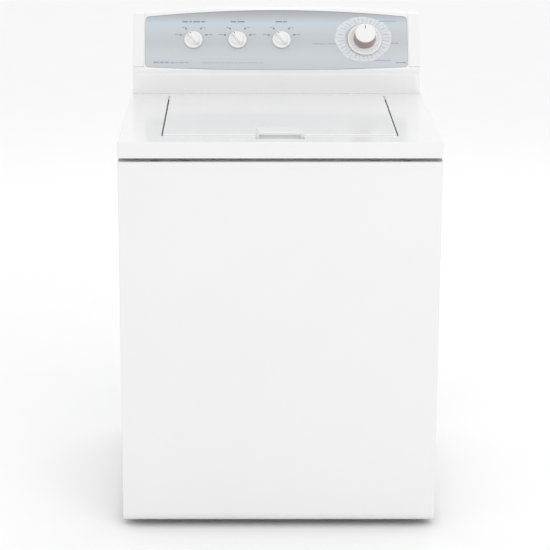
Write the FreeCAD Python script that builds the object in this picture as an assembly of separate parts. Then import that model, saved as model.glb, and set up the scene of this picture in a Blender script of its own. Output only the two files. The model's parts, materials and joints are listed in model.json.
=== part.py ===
import FreeCAD, Part
import math
import os

# Top load washing machine, in millimetres.
# +Z is up, the front faces -Y, and +X is to the right of someone facing the front.
# The origin lies on the floor under the middle of the outer box.

V = FreeCAD.Vector
X_AXIS = V(1, 0, 0)
Y_AXIS = V(0, 1, 0)
Z_AXIS = V(0, 0, 1)

# ---- Driving dimensions ----
WIDTH = 686.0
DEPTH = 676.0
HALF_W = WIDTH / 2
FRONT = -DEPTH / 2
BACK = DEPTH / 2
SHEET = 1.2                      # enamelled steel panels
CABINET_BOTTOM = 16.0            # height that the feet hold the cabinet at
PANEL_TOP = 832.0                # top edge of the front panel
PANEL_BEND_R = 22.0              # roll under the front panel's bottom edge
PANEL_EDGE_R = 3.2
SLOT_XS = (-267.0, -200.0, 200.0, 267.0)   # slots in the front panel's top flange
SLOT_HALF_W = 9.0
FLANGE_W = 24.0                  # return flanges of the cabinet sides
WORKTOP_BOTTOM = 840.0
DECK = 874.0                     # upper face of the worktop
REAR_PANEL_Y = 316.0             # the rear panel is recessed, so its fittings stay inside the depth
FLANGE_Y = REAR_PANEL_Y + SHEET + 0.05
SIDE_FRONT_Y = -312.0
RIB_XS = (-150.0, 0.0, 150.0)    # stiffening ribs pressed into the rear panel
RIB_HALF_W = 30.0
RIB_DEPTH = 4.0
RIB_LOW = 120.0
RIB_HIGH = 620.0
BASE_LOW = 22.0
BASE_HIGH = 50.0
BASE_GAUGE = 2.0
BASE_RAIL_W = 62.0
BASE_FRONT_RAIL_W = 96.0         # the front rail is wide, because it carries the pump
CROSS_Y = -310.75                # upper front crossmember
CROSS_LOW = 814.0
CROSS_HIGH = 846.0
CLIP_X = 226.0
CLIP_HALF_W = 14.0

# Lid and its recess
LID_HALF_W = 250.0
LID_FRONT = -272.0
LID_BACK = 172.0
LID_TOP = DECK + 3.0
LID_BOTTOM = 861.0
RECESS_FLOOR = 856.0
RECESS_BACK = 177.5
LID_GAP = 3.0
HINGE_Y = 164.0
HINGE_Z = 868.0
HINGE_PIN_R = 4.0
RUNNING_GAP = 0.05               # radial play of a pin or shaft in its bore
GRIP_HALF_W = 52.0
GRIP_RISE = 5.0
SCOOP_R = 40.0
PLUNGER_X = 231.0
PLUNGER_Y = 110.0
PLUNGER_R = 3.5

# Loading opening in the worktop
OPENING_HALF_W = 205.0
OPENING_FRONT = -225.0
OPENING_BACK = 140.0
OPENING_CORNER_R = 150.0

# Tub and basket, on one upright axis
TUB_Y = -22.0
TUB_R = 285.0
TUB_WALL = 4.0
TUB_FLOOR = 330.0
TUB_TOP = 790.0
COVER_TOP = 812.0
COVER_INNER_R = 214.0
BASKET_R = 262.0
BASKET_WALL = 1.5
BASKET_FLOOR = 346.0
BASKET_TOP = 745.0
BASKET_HOLE_R = 3.0
BASKET_HOLE_ROWS = 9
BASKET_HOLES_AROUND = 24
BASKET_HOLE_MARGINS = (50.0, 40.0)   # plain wall left below and above the holes
RING_TOP = 780.0
RING_INNER_R = 223.0
SPIN_TUBE_R = 19.0
SHAFT_R = 8.0
ROD_X = 270.0
ROD_Y = 262.0
ROD_R = 4.0
ROD_FOOT = 165.0
ROD_BALL_Z = 822.0
ROD_BALL_R = 9.0
SPRING_MEAN_R = 14.5
SPRING_WIRE_R = 2.0
SPRING_TURNS = 7
FRAME_LOW = 300.0
SUMP_X = 150.0
SUMP_Y = -165.0
TUBE_X = -235.0                  # air dome of the water level switch
TUBE_Y = 215.0
TUBE_BORE = 2.2
AGITATOR_TOP = 690.0

# Belt drive under the tub
PULLEY_R = 115.0
PULLEY_Z = 96.0
MOTOR_X = 172.0
MOTOR_PULLEY_R = 22.0
BELT_DEPTH = 7.0
MOTOR_R = 62.0
MOTOR_LOW = 128.0
MOTOR_HIGH = 262.0

# Drain pump on the base
PUMP_X = 225.0
PUMP_Y = -235.0
PUMP_Z = 100.0
PUMP_R = 34.0
HOSE_R = 12.0
HOSE_BORE = 9.0

# Fittings in the rear panel
FITTING_Z = 770.0
INLET_XS = (-215.0, -165.0)      # hot and cold
INLET_R = 13.4
DRAIN_X = 200.0
SPIGOT_R = 12.5
CORD_X = 285.0
CORD_R = 4.5
LOOM_X = 120.0
LOOM_Y = 270.0
REAR_SCREW_X = 330.0
REAR_SCREW_ZS = (90.0, 330.0, 570.0, 800.0)

# Console: its face is a convex arc about an axis along X
CONSOLE_HALF_W = 339.0
CAP_W = 27.0
FACE_HALF_W = CONSOLE_HALF_W - CAP_W
SEAM_Z = 937.0
CONSOLE_WALL = 2.5
FACE_R = 252.0
FACE_TILT = 35.0                 # degrees from upright at the middle of the face
FACE_MID_Y = 242.5
FACE_MID_Z = 995.4
ARC_Y = FACE_MID_Y + FACE_R * math.cos(math.radians(FACE_TILT))
ARC_Z = FACE_MID_Z - FACE_R * math.sin(math.radians(FACE_TILT))
FACE_BASE_Y = 209.5              # upright part of the console below the face
PLINTH_Y = 206.5                 # the console's foot stands a little proud of its face
PLINTH_TOP = 920.0
BASE_CORNER_R = 14.0
CONSOLE_TOP = 1061.0
CONSOLE_END_TOP = 1048.0
CAP_TOP = 1050.5
CAP_EDGE_R = 4.0
SHOULDER_R = 16.0
PANEL_THICK = 2.0
PANEL_LOW_MID = 930.0
PANEL_LOW_END = 937.0
PANEL_HIGH_MID = 1056.0
PANEL_HIGH_END = 1043.0

# Knobs
TIMER_X = 208.0
SELECTOR_XS = {"load_size": -196.0, "water_temperature": -92.0, "fabric_care": 12.0}
DIAL_R = 40.0
TIMER_CAP_R = 24.0
SELECTOR_R = 22.0
KNOB_SHAFT_R = 3.0
SELECTOR_TURN = 38.0             # degrees that the selector grips stand turned at rest

# Feet
FOOT_X = 300.0
FOOT_YS = (-262.0, 280.0)
FOOT_STUD_R = 5.0

PARTS = {}


def add(name, shape):
    """Record a finished node."""
    PARTS[name] = shape


def box(x0, x1, y0, y1, z0, z1):
    return Part.makeBox(x1 - x0, y1 - y0, z1 - z0, V(x0, y0, z0))


def tube_z(x, y, z0, z1, outer, inner):
    """Upright ring."""
    ring = Part.makeCylinder(outer, z1 - z0, V(x, y, z0))
    return ring.cut(Part.makeCylinder(inner, z1 - z0 + 2, V(x, y, z0 - 1)))


def rod_z(x, y, z0, z1, radius):
    return Part.makeCylinder(radius, z1 - z0, V(x, y, z0))


def fuse(shapes):
    joined = shapes[0].multiFuse(list(shapes[1:])) if len(shapes) > 1 else shapes[0]
    return joined.removeSplitter()


def polygon(points):
    """Closed wire through points."""
    return Part.makePolygon(list(points) + [points[0]])


def revolve(profile, x=0.0, y=TUB_Y):
    """Solid of revolution about an upright axis from (radius, height) pairs."""
    face = Part.Face(polygon([V(x + r, y, z) for r, z in profile]))
    return face.revolve(V(x, y, 0), Z_AXIS, 360)


def rounded_plate(x0, x1, y0, y1, z0, z1, radius):
    """Flat plate with rounded upright corners."""
    plate = box(x0, x1, y0, y1, z0, z1)
    upright = [e for e in plate.Edges if abs(e.tangentAt(e.FirstParameter).z) > 0.9]
    return plate.makeFillet(radius, upright)


def extrude_yz(points, x0, x1):
    """Prism along X from (y, z) pairs."""
    face = Part.Face(polygon([V(x0, y, z) for y, z in points]))
    return face.extrude(V(x1 - x0, 0, 0))


def edges_where(shape, test):
    """Edges whose middle point passes the test."""
    found = []
    for edge in shape.Edges:
        middle = edge.valueAt((edge.FirstParameter + edge.LastParameter) / 2)
        if test(middle, edge):
            found.append(edge)
    return found


def runs_along(edge, axis):
    a, b = edge.Vertexes[0].Point, edge.Vertexes[-1].Point
    return (b - a).Length > 1 and abs((b - a).normalize().dot(axis)) > 0.99


def hose(points, radius, bend_r, bore=0.0):
    """Round hose through points: straight runs joined by tangent arcs."""
    stops = [V(*p) for p in points]
    edges = []
    start = stops[0]
    for before, corner, after in zip(stops, stops[1:], stops[2:]):
        into = (corner - before).normalize()
        out = (after - corner).normalize()
        turn = into.getAngle(out)
        reach = bend_r * math.tan(turn / 2)
        first = corner - into * reach
        last = corner + out * reach
        inward = (out - into).normalize()
        middle = corner + inward * (bend_r / math.cos(turn / 2) - bend_r)
        edges.append(Part.makeLine(start, first))
        edges.append(Part.Arc(first, middle, last).toShape())
        start = last
    edges.append(Part.makeLine(start, stops[-1]))
    path = Part.Wire(edges)
    direction = (stops[1] - stops[0]).normalize()

    def swept(r):
        ring = Part.Wire(Part.makeCircle(r, stops[0], direction))
        return path.makePipeShell([ring], True, False)

    solid = swept(radius)
    return solid.cut(swept(bore)) if bore else solid


def corners():
    """Places of the four suspension rods."""
    return [(sx * ROD_X, TUB_Y + sy * ROD_Y) for sx in (-1, 1) for sy in (-1, 1)]


# ---- Cabinet ----
def cabinet():
    for name, side in (("cabinet_left_side", -1), ("cabinet_right_side", 1)):
        outer = side * (HALF_W - 0.4)
        inner = side * (HALF_W - 0.4 - SHEET)
        low, high = sorted((outer, inner))
        skin = box(low, high, SIDE_FRONT_Y, FLANGE_Y + SHEET, CABINET_BOTTOM, WORKTOP_BOTTOM - 0.5)
        flange_in = side * (HALF_W - FLANGE_W)
        f0, f1 = sorted((inner, flange_in))
        rear = box(f0, f1, FLANGE_Y, FLANGE_Y + SHEET, CABINET_BOTTOM, WORKTOP_BOTTOM - 0.5)
        front = box(f0, f1, SIDE_FRONT_Y, SIDE_FRONT_Y + SHEET, CABINET_BOTTOM, PANEL_TOP - 4)
        add(name, fuse([skin, rear, front]))
    rear = box(-HALF_W + 4, HALF_W - 4, REAR_PANEL_Y, REAR_PANEL_Y + SHEET, 52, WORKTOP_BOTTOM - 2)
    ribs = []
    for x in RIB_XS:
        x0, x1 = x - RIB_HALF_W, x + RIB_HALF_W
        rib_y = REAR_PANEL_Y - RIB_DEPTH
        rib = box(x0, x1, rib_y, REAR_PANEL_Y, RIB_LOW, RIB_HIGH)
        hollow = box(x0 + SHEET, x1 - SHEET, rib_y + SHEET, REAR_PANEL_Y + 2, RIB_LOW + SHEET,
                     RIB_HIGH - SHEET)
        ribs.append((rib, hollow))
    rear = fuse([rear] + [rib for rib, _ in ribs])
    for _, hollow in ribs:
        rear = rear.cut(hollow)
    through = REAR_PANEL_Y - 10
    inlet_holes = [(x, INLET_R + 3.1) for x in INLET_XS]
    for x, r in inlet_holes + [(DRAIN_X, SPIGOT_R + 4.8), (CORD_X, 2 * CORD_R)]:
        rear = rear.cut(Part.makeCylinder(r, 20, V(x, through, FITTING_Z), Y_AXIS))
    add("cabinet_rear_panel", rear)

    panel = front_skin(0).cut(front_skin(SHEET))
    keep = box(-HALF_W - 1, HALF_W + 1, FRONT - 1, SIDE_FRONT_Y - 0.5, 0, PANEL_TOP + 1)
    slots = []
    for x in SLOT_XS:
        x0, x1 = x - SLOT_HALF_W, x + SLOT_HALF_W
        slots.append(box(x0, x1, FRONT + 8, SIDE_FRONT_Y - 4, PANEL_TOP - 5, PANEL_TOP + 5))
    add("front_panel", panel.common(keep).cut(Part.makeCompound(slots)))

    base_frame()
    front_crossmember()


def front_skin(inset):
    """Front panel's outer shape, with its bottom edge rolled under, shrunk by inset."""
    low_z = CABINET_BOTTOM + inset
    block = box(-HALF_W + inset, HALF_W - inset, FRONT + 2 + inset, -292, low_z, PANEL_TOP - inset)
    low = edges_where(block, lambda m, e: m.z < low_z + 1 and m.y < FRONT + 5 and runs_along(e, X_AXIS))
    block = block.makeFillet(PANEL_BEND_R - inset, low)
    face = edges_where(block, lambda m, e: m.y < FRONT + 4 and m.z > 100)
    rest = [e for e in face if runs_along(e, X_AXIS) or runs_along(e, Z_AXIS)]
    return block.makeFillet(PANEL_EDGE_R - inset, rest)


def base_frame():
    """Pressed tray on the feet, open underneath and in the middle."""
    x_out = HALF_W - 4.0
    y_front = SIDE_FRONT_Y + SHEET + 0.5
    y_back = REAR_PANEL_Y - 0.5
    x_in = x_out - BASE_RAIL_W
    in_front = y_front + BASE_FRONT_RAIL_W
    in_back = y_back - BASE_RAIL_W
    g = BASE_GAUGE
    frame = box(-x_out, x_out, y_front, y_back, BASE_LOW, BASE_HIGH)
    frame = frame.cut(rounded_plate(-x_in, x_in, in_front, in_back, 0, 80, 40))
    hollow = box(-x_out + g, x_out - g, y_front + g, y_back - g, 10, BASE_HIGH - g)
    web = rounded_plate(-x_in - g, x_in + g, in_front - g, in_back + g, 0, 60, 40 + g)
    frame = frame.cut(hollow.cut(web))
    for x in (-FOOT_X, FOOT_X):
        for y in FOOT_YS:
            frame = frame.fuse(rod_z(x, y, BASE_LOW, BASE_HIGH, 12))
            frame = frame.cut(rod_z(x, y, 0, 80, FOOT_STUD_R + RUNNING_GAP))
    add("base_frame", frame)


def front_crossmember():
    """Rail between the cabinet sides behind the front panel, with two spring clips for its flange."""
    half = HALF_W - 3.0
    web = box(-half, half, CROSS_Y, CROSS_Y + SHEET, CROSS_LOW, CROSS_HIGH)
    shelf = box(-half, half, CROSS_Y, CROSS_Y + 16, CROSS_HIGH - SHEET, CROSS_HIGH)
    clips = []
    for x in (-CLIP_X, CLIP_X):
        x0, x1 = x - CLIP_HALF_W, x + CLIP_HALF_W
        tongue = box(x0, x1, CROSS_Y - 18, CROSS_Y + SHEET, PANEL_TOP - 6, PANEL_TOP - 4.5)
        hook = box(x0, x1, CROSS_Y - 18, CROSS_Y - 16.5, PANEL_TOP - 14, PANEL_TOP - 4.5)
        clips += [tongue, hook]
    add("front_crossmember", fuse([web, shelf] + clips))


# ---- Worktop with its lid recess ----
def worktop():
    outer = box(-HALF_W, HALF_W, FRONT, BACK, WORKTOP_BOTTOM, DECK)
    uprights = edges_where(outer, lambda m, e: runs_along(e, Z_AXIS))
    outer = outer.makeFillet(5, uprights)
    outer = outer.makeFillet(4, edges_where(outer, lambda m, e: m.z > DECK - 0.1))
    inner = box(-HALF_W + SHEET, HALF_W - SHEET, FRONT + SHEET, BACK - SHEET, WORKTOP_BOTTOM - 1,
                DECK - SHEET)
    inner = inner.makeFillet(4, edges_where(inner, lambda m, e: runs_along(e, Z_AXIS)))
    inner = inner.makeFillet(3, edges_where(inner, lambda m, e: m.z > DECK - SHEET - 0.1))
    skin = outer.cut(inner)
    x_out = LID_HALF_W + LID_GAP
    y_out = LID_FRONT - LID_GAP
    well_out = rounded_plate(
        -x_out - SHEET, x_out + SHEET, y_out - SHEET, RECESS_BACK + SHEET,
        RECESS_FLOOR - SHEET, DECK - SHEET / 2, 8 + SHEET,
    )
    well = rounded_plate(-x_out, x_out, y_out, RECESS_BACK, RECESS_FLOOR, DECK + 5, 8)
    collar_z = WORKTOP_BOTTOM - 4
    collar = rounded_plate(
        -OPENING_HALF_W - SHEET, OPENING_HALF_W + SHEET, OPENING_FRONT - SHEET, OPENING_BACK + SHEET,
        collar_z, RECESS_FLOOR - SHEET / 2, OPENING_CORNER_R + SHEET,
    )
    hole = rounded_plate(
        -OPENING_HALF_W, OPENING_HALF_W, OPENING_FRONT, OPENING_BACK, collar_z - 5, DECK + 5, OPENING_CORNER_R
    )
    scoop_at = V(-GRIP_HALF_W, y_out - 2, DECK + 29)
    scoop = Part.makeCylinder(SCOOP_R, 2 * GRIP_HALF_W, scoop_at, X_AXIS)
    scoop_out = Part.makeCylinder(SCOOP_R + SHEET, 2 * (GRIP_HALF_W + SHEET),
                                  scoop_at - V(SHEET, 0, 0), X_AXIS)
    scoop_out = scoop_out.common(box(-200, 200, y_out - 60, y_out, DECK - 20, DECK - SHEET / 2))
    top = skin.fuse([well_out, collar, scoop_out]).cut(well).cut(hole).cut(scoop)
    top = top.cut(rod_z(PLUNGER_X, PLUNGER_Y, RECESS_FLOOR - 5, RECESS_FLOOR + 5, 4.5))
    for x in (-LID_HALF_W - LID_GAP / 2, LID_HALF_W + LID_GAP / 2):
        hinge_hole = Part.makeCylinder(7.5, 10, V(x - 5, HINGE_Y, HINGE_Z), X_AXIS)
        top = top.cut(hinge_hole.common(box(x - 5, x + 5, 100, 200, 850, DECK - 1.3)))
    top = top.cut(rod_z(LOOM_X, LOOM_Y, DECK - 5, DECK + 5, 16))
    add("top_panel", top)

    bushes = []
    for side in (-1, 1):
        x0 = side * (LID_HALF_W + LID_GAP + SHEET)
        start = min(x0, x0 + side * 12)
        block = box(start, start + 12, HINGE_Y - 10, HINGE_Y + 10, 852, DECK - SHEET)
        flange = Part.makeCylinder(7.2, SHEET, V(min(x0, x0 - side * SHEET), HINGE_Y, HINGE_Z), X_AXIS)
        flange = flange.common(box(-400, 400, 100, 200, 840, DECK - 1.5))
        bore = Part.makeCylinder(HINGE_PIN_R + RUNNING_GAP, 30, V(x0 - 15, HINGE_Y, HINGE_Z), X_AXIS)
        bushes.append(block.fuse(flange).cut(bore))
    add("hinge_bushes", Part.makeCompound(bushes))

    bumpers = []
    for x, y in ((-228, -254), (228, -254), (-236, 20), (236, 20)):
        pad = Part.makeCone(6, 4.5, LID_BOTTOM - RECESS_FLOOR - 0.4, V(x, y, RECESS_FLOOR))
        bumpers.append(pad)
    add("lid_bumpers", Part.makeCompound(bumpers))

    top_z = RECESS_FLOOR - SHEET - 0.05
    body = box(PLUNGER_X - 14, PLUNGER_X + 14, PLUNGER_Y - 22, PLUNGER_Y + 22, 826, top_z)
    body = body.cut(rod_z(PLUNGER_X, PLUNGER_Y, 834, 870, PLUNGER_R + RUNNING_GAP))
    add("lid_switch_housing", body)
    head = rod_z(PLUNGER_X, PLUNGER_Y, 846, LID_BOTTOM - 2.6, PLUNGER_R)
    add("lid_switch_plunger", head.makeFillet(1.2, edges_where(head, lambda m, e: m.z > LID_BOTTOM - 3)))


# ---- Lid ----
def pin_bore(x, length):
    """Hole for a hinge pin in the lid, centred at x."""
    return Part.makeCylinder(HINGE_PIN_R + 0.1, length, V(x - length / 2, HINGE_Y, HINGE_Z), X_AXIS)


def lid():
    def lid_block(inset):
        block = rounded_plate(-LID_HALF_W + inset, LID_HALF_W - inset, LID_FRONT + inset, LID_BACK - inset,
                              LID_BOTTOM, LID_TOP - inset, 6 - inset)
        return block.makeFillet(4 - inset, edges_where(block, lambda m, e: m.z > LID_TOP - inset - 0.1))

    slope = Part.Face(polygon([V(0, LID_FRONT, LID_TOP - 6), V(0, LID_FRONT, LID_TOP + GRIP_RISE - 1.5),
                               V(0, LID_FRONT + 4, LID_TOP + GRIP_RISE), V(0, LID_FRONT + 80, LID_TOP - 0.5),
                               V(0, LID_FRONT + 80, LID_TOP - 6)]))
    slope = slope.extrude(V(GRIP_HALF_W, 0, 0))
    half = slope.fuse(slope.mirror(V(0, 0, 0), X_AXIS))
    flank = Part.Face(polygon([V(-GRIP_HALF_W - 1, -300, LID_TOP - 8), V(GRIP_HALF_W + 1, -300, LID_TOP - 8),
                               V(GRIP_HALF_W + 1, -300, LID_TOP - 1), V(GRIP_HALF_W - 12, -300, LID_TOP + 6),
                               V(-GRIP_HALF_W + 12, -300, LID_TOP + 6),
                               V(-GRIP_HALF_W - 1, -300, LID_TOP - 1)]))
    lip = half.common(flank.extrude(V(0, 200, 0)))
    shell = lid_block(0).fuse(lip)
    inner = lid_block(SHEET).common(box(-400, 400, -400, 400, 800, LID_TOP - SHEET))
    half_pocket = GRIP_HALF_W - 8
    backing = box(-half_pocket - 3, half_pocket + 3, LID_FRONT + 0.8, LID_FRONT + 8, LID_BOTTOM, LID_TOP - 1)
    finger = Part.makeCylinder(9, 2 * half_pocket, V(-half_pocket, LID_FRONT - 4, LID_TOP - 9), X_AXIS)
    shell = shell.cut(inner).fuse(backing).cut(finger)
    add("lid", shell.removeSplitter())

    liner = rounded_plate(-LID_HALF_W + SHEET + 0.2, LID_HALF_W - SHEET - 0.2, LID_FRONT + 12,
                          LID_BACK - SHEET - 0.2,
                          LID_BOTTOM, LID_BOTTOM + 8, 5)
    dish_x = LID_HALF_W - 30
    dish = rounded_plate(-dish_x, dish_x, LID_FRONT + 40, LID_BACK - 30, LID_BOTTOM - 1, LID_BOTTOM + 4, 40)
    pin_room = [pin_bore(x, 40) for x in (-LID_HALF_W + 12, LID_HALF_W - 12)]
    strike = box(PLUNGER_X - 7, PLUNGER_X + 7, PLUNGER_Y - 9, PLUNGER_Y + 9, LID_BOTTOM - 2.3, LID_BOTTOM)
    strike = strike.makeFillet(1.5, edges_where(strike, lambda m, e: m.z < LID_BOTTOM - 2))
    add("lid_inner_liner", liner.cut(dish).cut(Part.makeCompound(pin_room)).fuse(strike))

    pins = []
    for side in (-1, 1):
        inside = side * (LID_HALF_W - 28)
        outside = side * (LID_HALF_W + LID_GAP + SHEET + 9)
        low, high = sorted((inside, outside))
        pins.append(Part.makeCylinder(HINGE_PIN_R, high - low, V(low, HINGE_Y, HINGE_Z), X_AXIS))
    add("lid_hinge_pins", Part.makeCompound(pins))
    bores = [pin_bore(x, 60) for x in (-LID_HALF_W, LID_HALF_W)]
    PARTS["lid"] = PARTS["lid"].cut(Part.makeCompound(bores))


# ---- Console ----
def face_point(radius, degrees):
    """Point (y, z) of the face arc whose normal is tilted up by degrees."""
    a = math.radians(degrees)
    return ARC_Y - radius * math.cos(a), ARC_Z + radius * math.sin(a)


def face_angle(z, radius=FACE_R):
    return math.degrees(math.asin((z - ARC_Z) / radius))


def console_profile(radius, base_y, back_y, bottom, top, x):
    """Closed YZ face of the console for a face arc of the given radius."""
    low_z = ARC_Z + math.sqrt(radius ** 2 - (ARC_Y - base_y) ** 2)
    a0 = face_angle(low_z, radius)
    a1 = face_angle(top - 2, radius)
    mid = face_point(radius, (a0 + a1) / 2)
    end = face_point(radius, a1)
    points = [V(x, base_y, bottom), V(x, base_y, low_z), V(x, end[0], end[1]), V(x, end[0] + 12, top),
              V(x, back_y, top), V(x, back_y, bottom)]
    edges = [
        Part.makeLine(points[0], points[1]),
        Part.Arc(points[1], V(x, mid[0], mid[1]), points[2]).toShape(),
        Part.makeLine(points[2], points[3]),
        Part.makeLine(points[3], points[4]),
        Part.makeLine(points[4], points[5]),
        Part.makeLine(points[5], points[0]),
    ]
    return Part.Face(Part.Wire(edges))


def end_cap(inset, x0, x1):
    """End cap block: the face arc with a rounded shoulder and a flat top, shrunk by inset."""
    radius = FACE_R - inset
    low = SEAM_Z + inset
    top = CAP_TOP - inset
    a0 = face_angle(low, radius)
    a1 = face_angle(top, radius)
    first, mid, last = (face_point(radius, a) for a in (a0, (a0 + a1) / 2, a1))
    back = BACK - inset
    edges = [
        Part.Arc(V(x0, *first), V(x0, *mid), V(x0, *last)).toShape(),
        Part.makeLine(V(x0, *last), V(x0, back, top)),
        Part.makeLine(V(x0, back, top), V(x0, back, low)),
        Part.makeLine(V(x0, back, low), V(x0, *first)),
    ]
    block = Part.Face(Part.Wire(edges)).extrude(V(x1 - x0, 0, 0))
    shoulder = edges_where(block, lambda m, e: runs_along(e, X_AXIS) and m.z > top - 1 and m.y < back - 1)
    return block.makeFillet(SHOULDER_R, shoulder)


def arch(half_w, top_mid, top_end, y0, y1, low=800.0):
    """Block whose upper face is a shallow arch across X."""
    a = V(-half_w, y0, top_end)
    b = V(0, y0, top_mid)
    c = V(half_w, y0, top_end)
    edges = [
        Part.Arc(a, b, c).toShape(),
        Part.makeLine(c, V(half_w, y0, low)),
        Part.makeLine(V(half_w, y0, low), V(-half_w, y0, low)),
        Part.makeLine(V(-half_w, y0, low), a),
    ]
    return Part.Face(Part.Wire(edges)).extrude(V(0, y1 - y0, 0))


def face_drum(radius, beyond):
    """Cylinder about the face's axis, reaching beyond both ends of the face."""
    half = FACE_HALF_W + beyond
    return Part.makeCylinder(radius, 2 * half, V(-half, ARC_Y, ARC_Z), X_AXIS)


def panel_outline(margin):
    """Block along Y with the control panel's outline, grown by margin."""
    half_low = FACE_HALF_W - 3.5 + margin
    half_high = FACE_HALF_W - 2.4 + margin
    low_end, low_mid = PANEL_LOW_END - margin, PANEL_LOW_MID - margin
    high_end, high_mid = PANEL_HIGH_END + margin, PANEL_HIGH_MID + margin
    edges = [
        Part.Arc(V(-half_low, 150, low_end), V(0, 150, low_mid), V(half_low, 150, low_end)).toShape(),
        Part.makeLine(V(half_low, 150, low_end), V(half_high, 150, high_end)),
        Part.Arc(V(half_high, 150, high_end), V(0, 150, high_mid), V(-half_high, 150, high_end)).toShape(),
        Part.makeLine(V(-half_high, 150, high_end), V(-half_low, 150, low_end)),
    ]
    block = Part.Face(Part.Wire(edges)).extrude(V(0, 200, 0))
    corners_of = edges_where(block, lambda m, e: runs_along(e, Y_AXIS))
    return block.makeFillet(8, corners_of)


def normal_frame():
    """Unit vectors of the face at its middle: outward normal and up along the face."""
    t = math.radians(FACE_TILT)
    return V(0, -math.cos(t), math.sin(t)), V(0, math.sin(t), math.cos(t))


def on_face(x, out):
    """Point above the middle of the face by out, along the normal."""
    normal, _ = normal_frame()
    return V(x, FACE_MID_Y, FACE_MID_Z) + normal * out


def along_normal(x, out0, out1, radius):
    """Cylinder on a knob's axis between two distances from the face."""
    normal, _ = normal_frame()
    return Part.makeCylinder(radius, out1 - out0, on_face(x, out0), normal)


def oriented_box(x, half_w, out0, out1, half_h):
    """Box standing on the face's normal at x."""
    normal, up = normal_frame()
    base = on_face(x, out0) - up * half_h
    rise = up * 2 * half_h
    reach = normal * (out1 - out0)
    points = [base, base + rise, base + rise + reach, base + reach]
    side = V(-half_w, 0, 0)
    face = Part.Face(polygon([p + side for p in points]))
    return face.extrude(V(2 * half_w, 0, 0))


def console():
    profile = console_profile(FACE_R, FACE_BASE_Y, BACK, DECK + 0.1, CONSOLE_TOP, -CONSOLE_HALF_W)
    outer = profile.extrude(V(2 * CONSOLE_HALF_W, 0, 0))
    outer = outer.common(arch(CONSOLE_HALF_W + 5, CONSOLE_TOP, CONSOLE_END_TOP, 150, 400))
    foot = [(PLINTH_Y, DECK + 0.1), (PLINTH_Y, PLINTH_TOP - 1.5), (PLINTH_Y + 1.2, PLINTH_TOP),
            (FACE_BASE_Y + 1, PLINTH_TOP + 1.5), (FACE_BASE_Y + 1, DECK + 0.1)]
    outer = outer.fuse(extrude_yz(foot, -CONSOLE_HALF_W, CONSOLE_HALF_W))
    half, w = CONSOLE_HALF_W, CONSOLE_WALL
    rounded_base = rounded_plate(-half, half, PLINTH_Y, BACK + 40, DECK, SEAM_Z, BASE_CORNER_R)
    outer = outer.common(rounded_base.fuse(box(-half, half, PLINTH_Y, BACK + 40, SEAM_Z - 0.6, 1100)))
    inner = console_profile(
        FACE_R - w - PANEL_THICK, FACE_BASE_Y + w, BACK + 5, DECK - 5, CONSOLE_TOP - w, -FACE_HALF_W + w
    )
    cavity = inner.extrude(V(2 * (FACE_HALF_W - w), 0, 0))
    cavity = cavity.common(arch(half, CONSOLE_TOP - w, CONSOLE_END_TOP - w, 150, 400))
    base_cavity = rounded_plate(
        -half + w, half - w, FACE_BASE_Y + w, BACK + 40, DECK - 5, SEAM_Z - w - 2, BASE_CORNER_R - w
    )
    shafts = [along_normal(x, -20, 10, 6) for x in list(SELECTOR_XS.values()) + [TIMER_X]]
    shafts = Part.makeCompound(shafts)

    pocket = face_drum(FACE_R, 10).cut(face_drum(FACE_R - PANEL_THICK, 20)).common(panel_outline(0.8))
    panel = face_drum(FACE_R, 0).cut(face_drum(FACE_R - PANEL_THICK + 0.05, 1))
    panel = panel.common(panel_outline(0)).cut(shafts)
    add("control_panel", panel)

    caps_region = [
        box(-CONSOLE_HALF_W - 5, -FACE_HALF_W, 150, 400, SEAM_Z - 0.6, 1100),
        box(FACE_HALF_W, CONSOLE_HALF_W + 5, 150, 400, SEAM_Z - 0.6, 1100),
    ]
    body = outer.cut(cavity).cut(base_cavity).cut(pocket).cut(shafts)
    body = body.cut(Part.makeCompound(caps_region))
    add("console_body", body.removeSplitter())

    for name, side in (("console_left_end_cap", -1), ("console_right_end_cap", 1)):
        x0, x1 = sorted((side * (FACE_HALF_W + 0.3), side * CONSOLE_HALF_W))
        solid = end_cap(0, x0, x1)
        outside = edges_where(solid, lambda m, e: abs(m.x) > CONSOLE_HALF_W - 0.1)
        rim = [e for e in outside if e.BoundBox.Center.z > SEAM_Z + 1 and e.BoundBox.Center.y < BACK - 1]
        solid = solid.makeFillet(CAP_EDGE_R, rim)
        hollow_x0, hollow_x1 = sorted((side * (FACE_HALF_W - 1), side * (CONSOLE_HALF_W - 3)))
        solid = solid.cut(end_cap(3, hollow_x0, hollow_x1))
        add(name, solid)

    cover = arch(FACE_HALF_W - w - 0.4, CONSOLE_TOP - w - 0.6, CONSOLE_END_TOP - w + 0.4,
                 BACK - SHEET, BACK, DECK + 0.6)
    foot_half = half - w - 0.4
    cover = cover.fuse(box(-foot_half, foot_half, BACK - SHEET, BACK, DECK + 0.6, SEAM_Z - w - 2.4))
    add("console_rear_cover", cover.removeSplitter())


def mechanism():
    """Timer and switches behind the console's face."""
    timer = oriented_box(TIMER_X, 38, -62, -9.9, 38)
    plate = oriented_box(TIMER_X, 46, -10.4, -8.9, 30)
    neck = along_normal(TIMER_X, -8.9, -6.5, 10)
    bore = along_normal(TIMER_X, -40, 0, KNOB_SHAFT_R + RUNNING_GAP)
    add("timer_body", fuse([timer, plate.cut(bore), neck]).cut(bore))
    switches = []
    for key, x in SELECTOR_XS.items():
        bore = along_normal(x, -30, 0, KNOB_SHAFT_R + RUNNING_GAP)
        if key == "load_size":
            can = fuse([along_normal(x, -34, -8, 24), oriented_box(x, 10, -46, -34, 12)])
        else:
            can = fuse([oriented_box(x, 19, -34, -8, 17), oriented_box(x, 13, -38, -34, 4)])
        switches.append(can.cut(bore))
    add("selector_switches", Part.makeCompound(switches))


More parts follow.
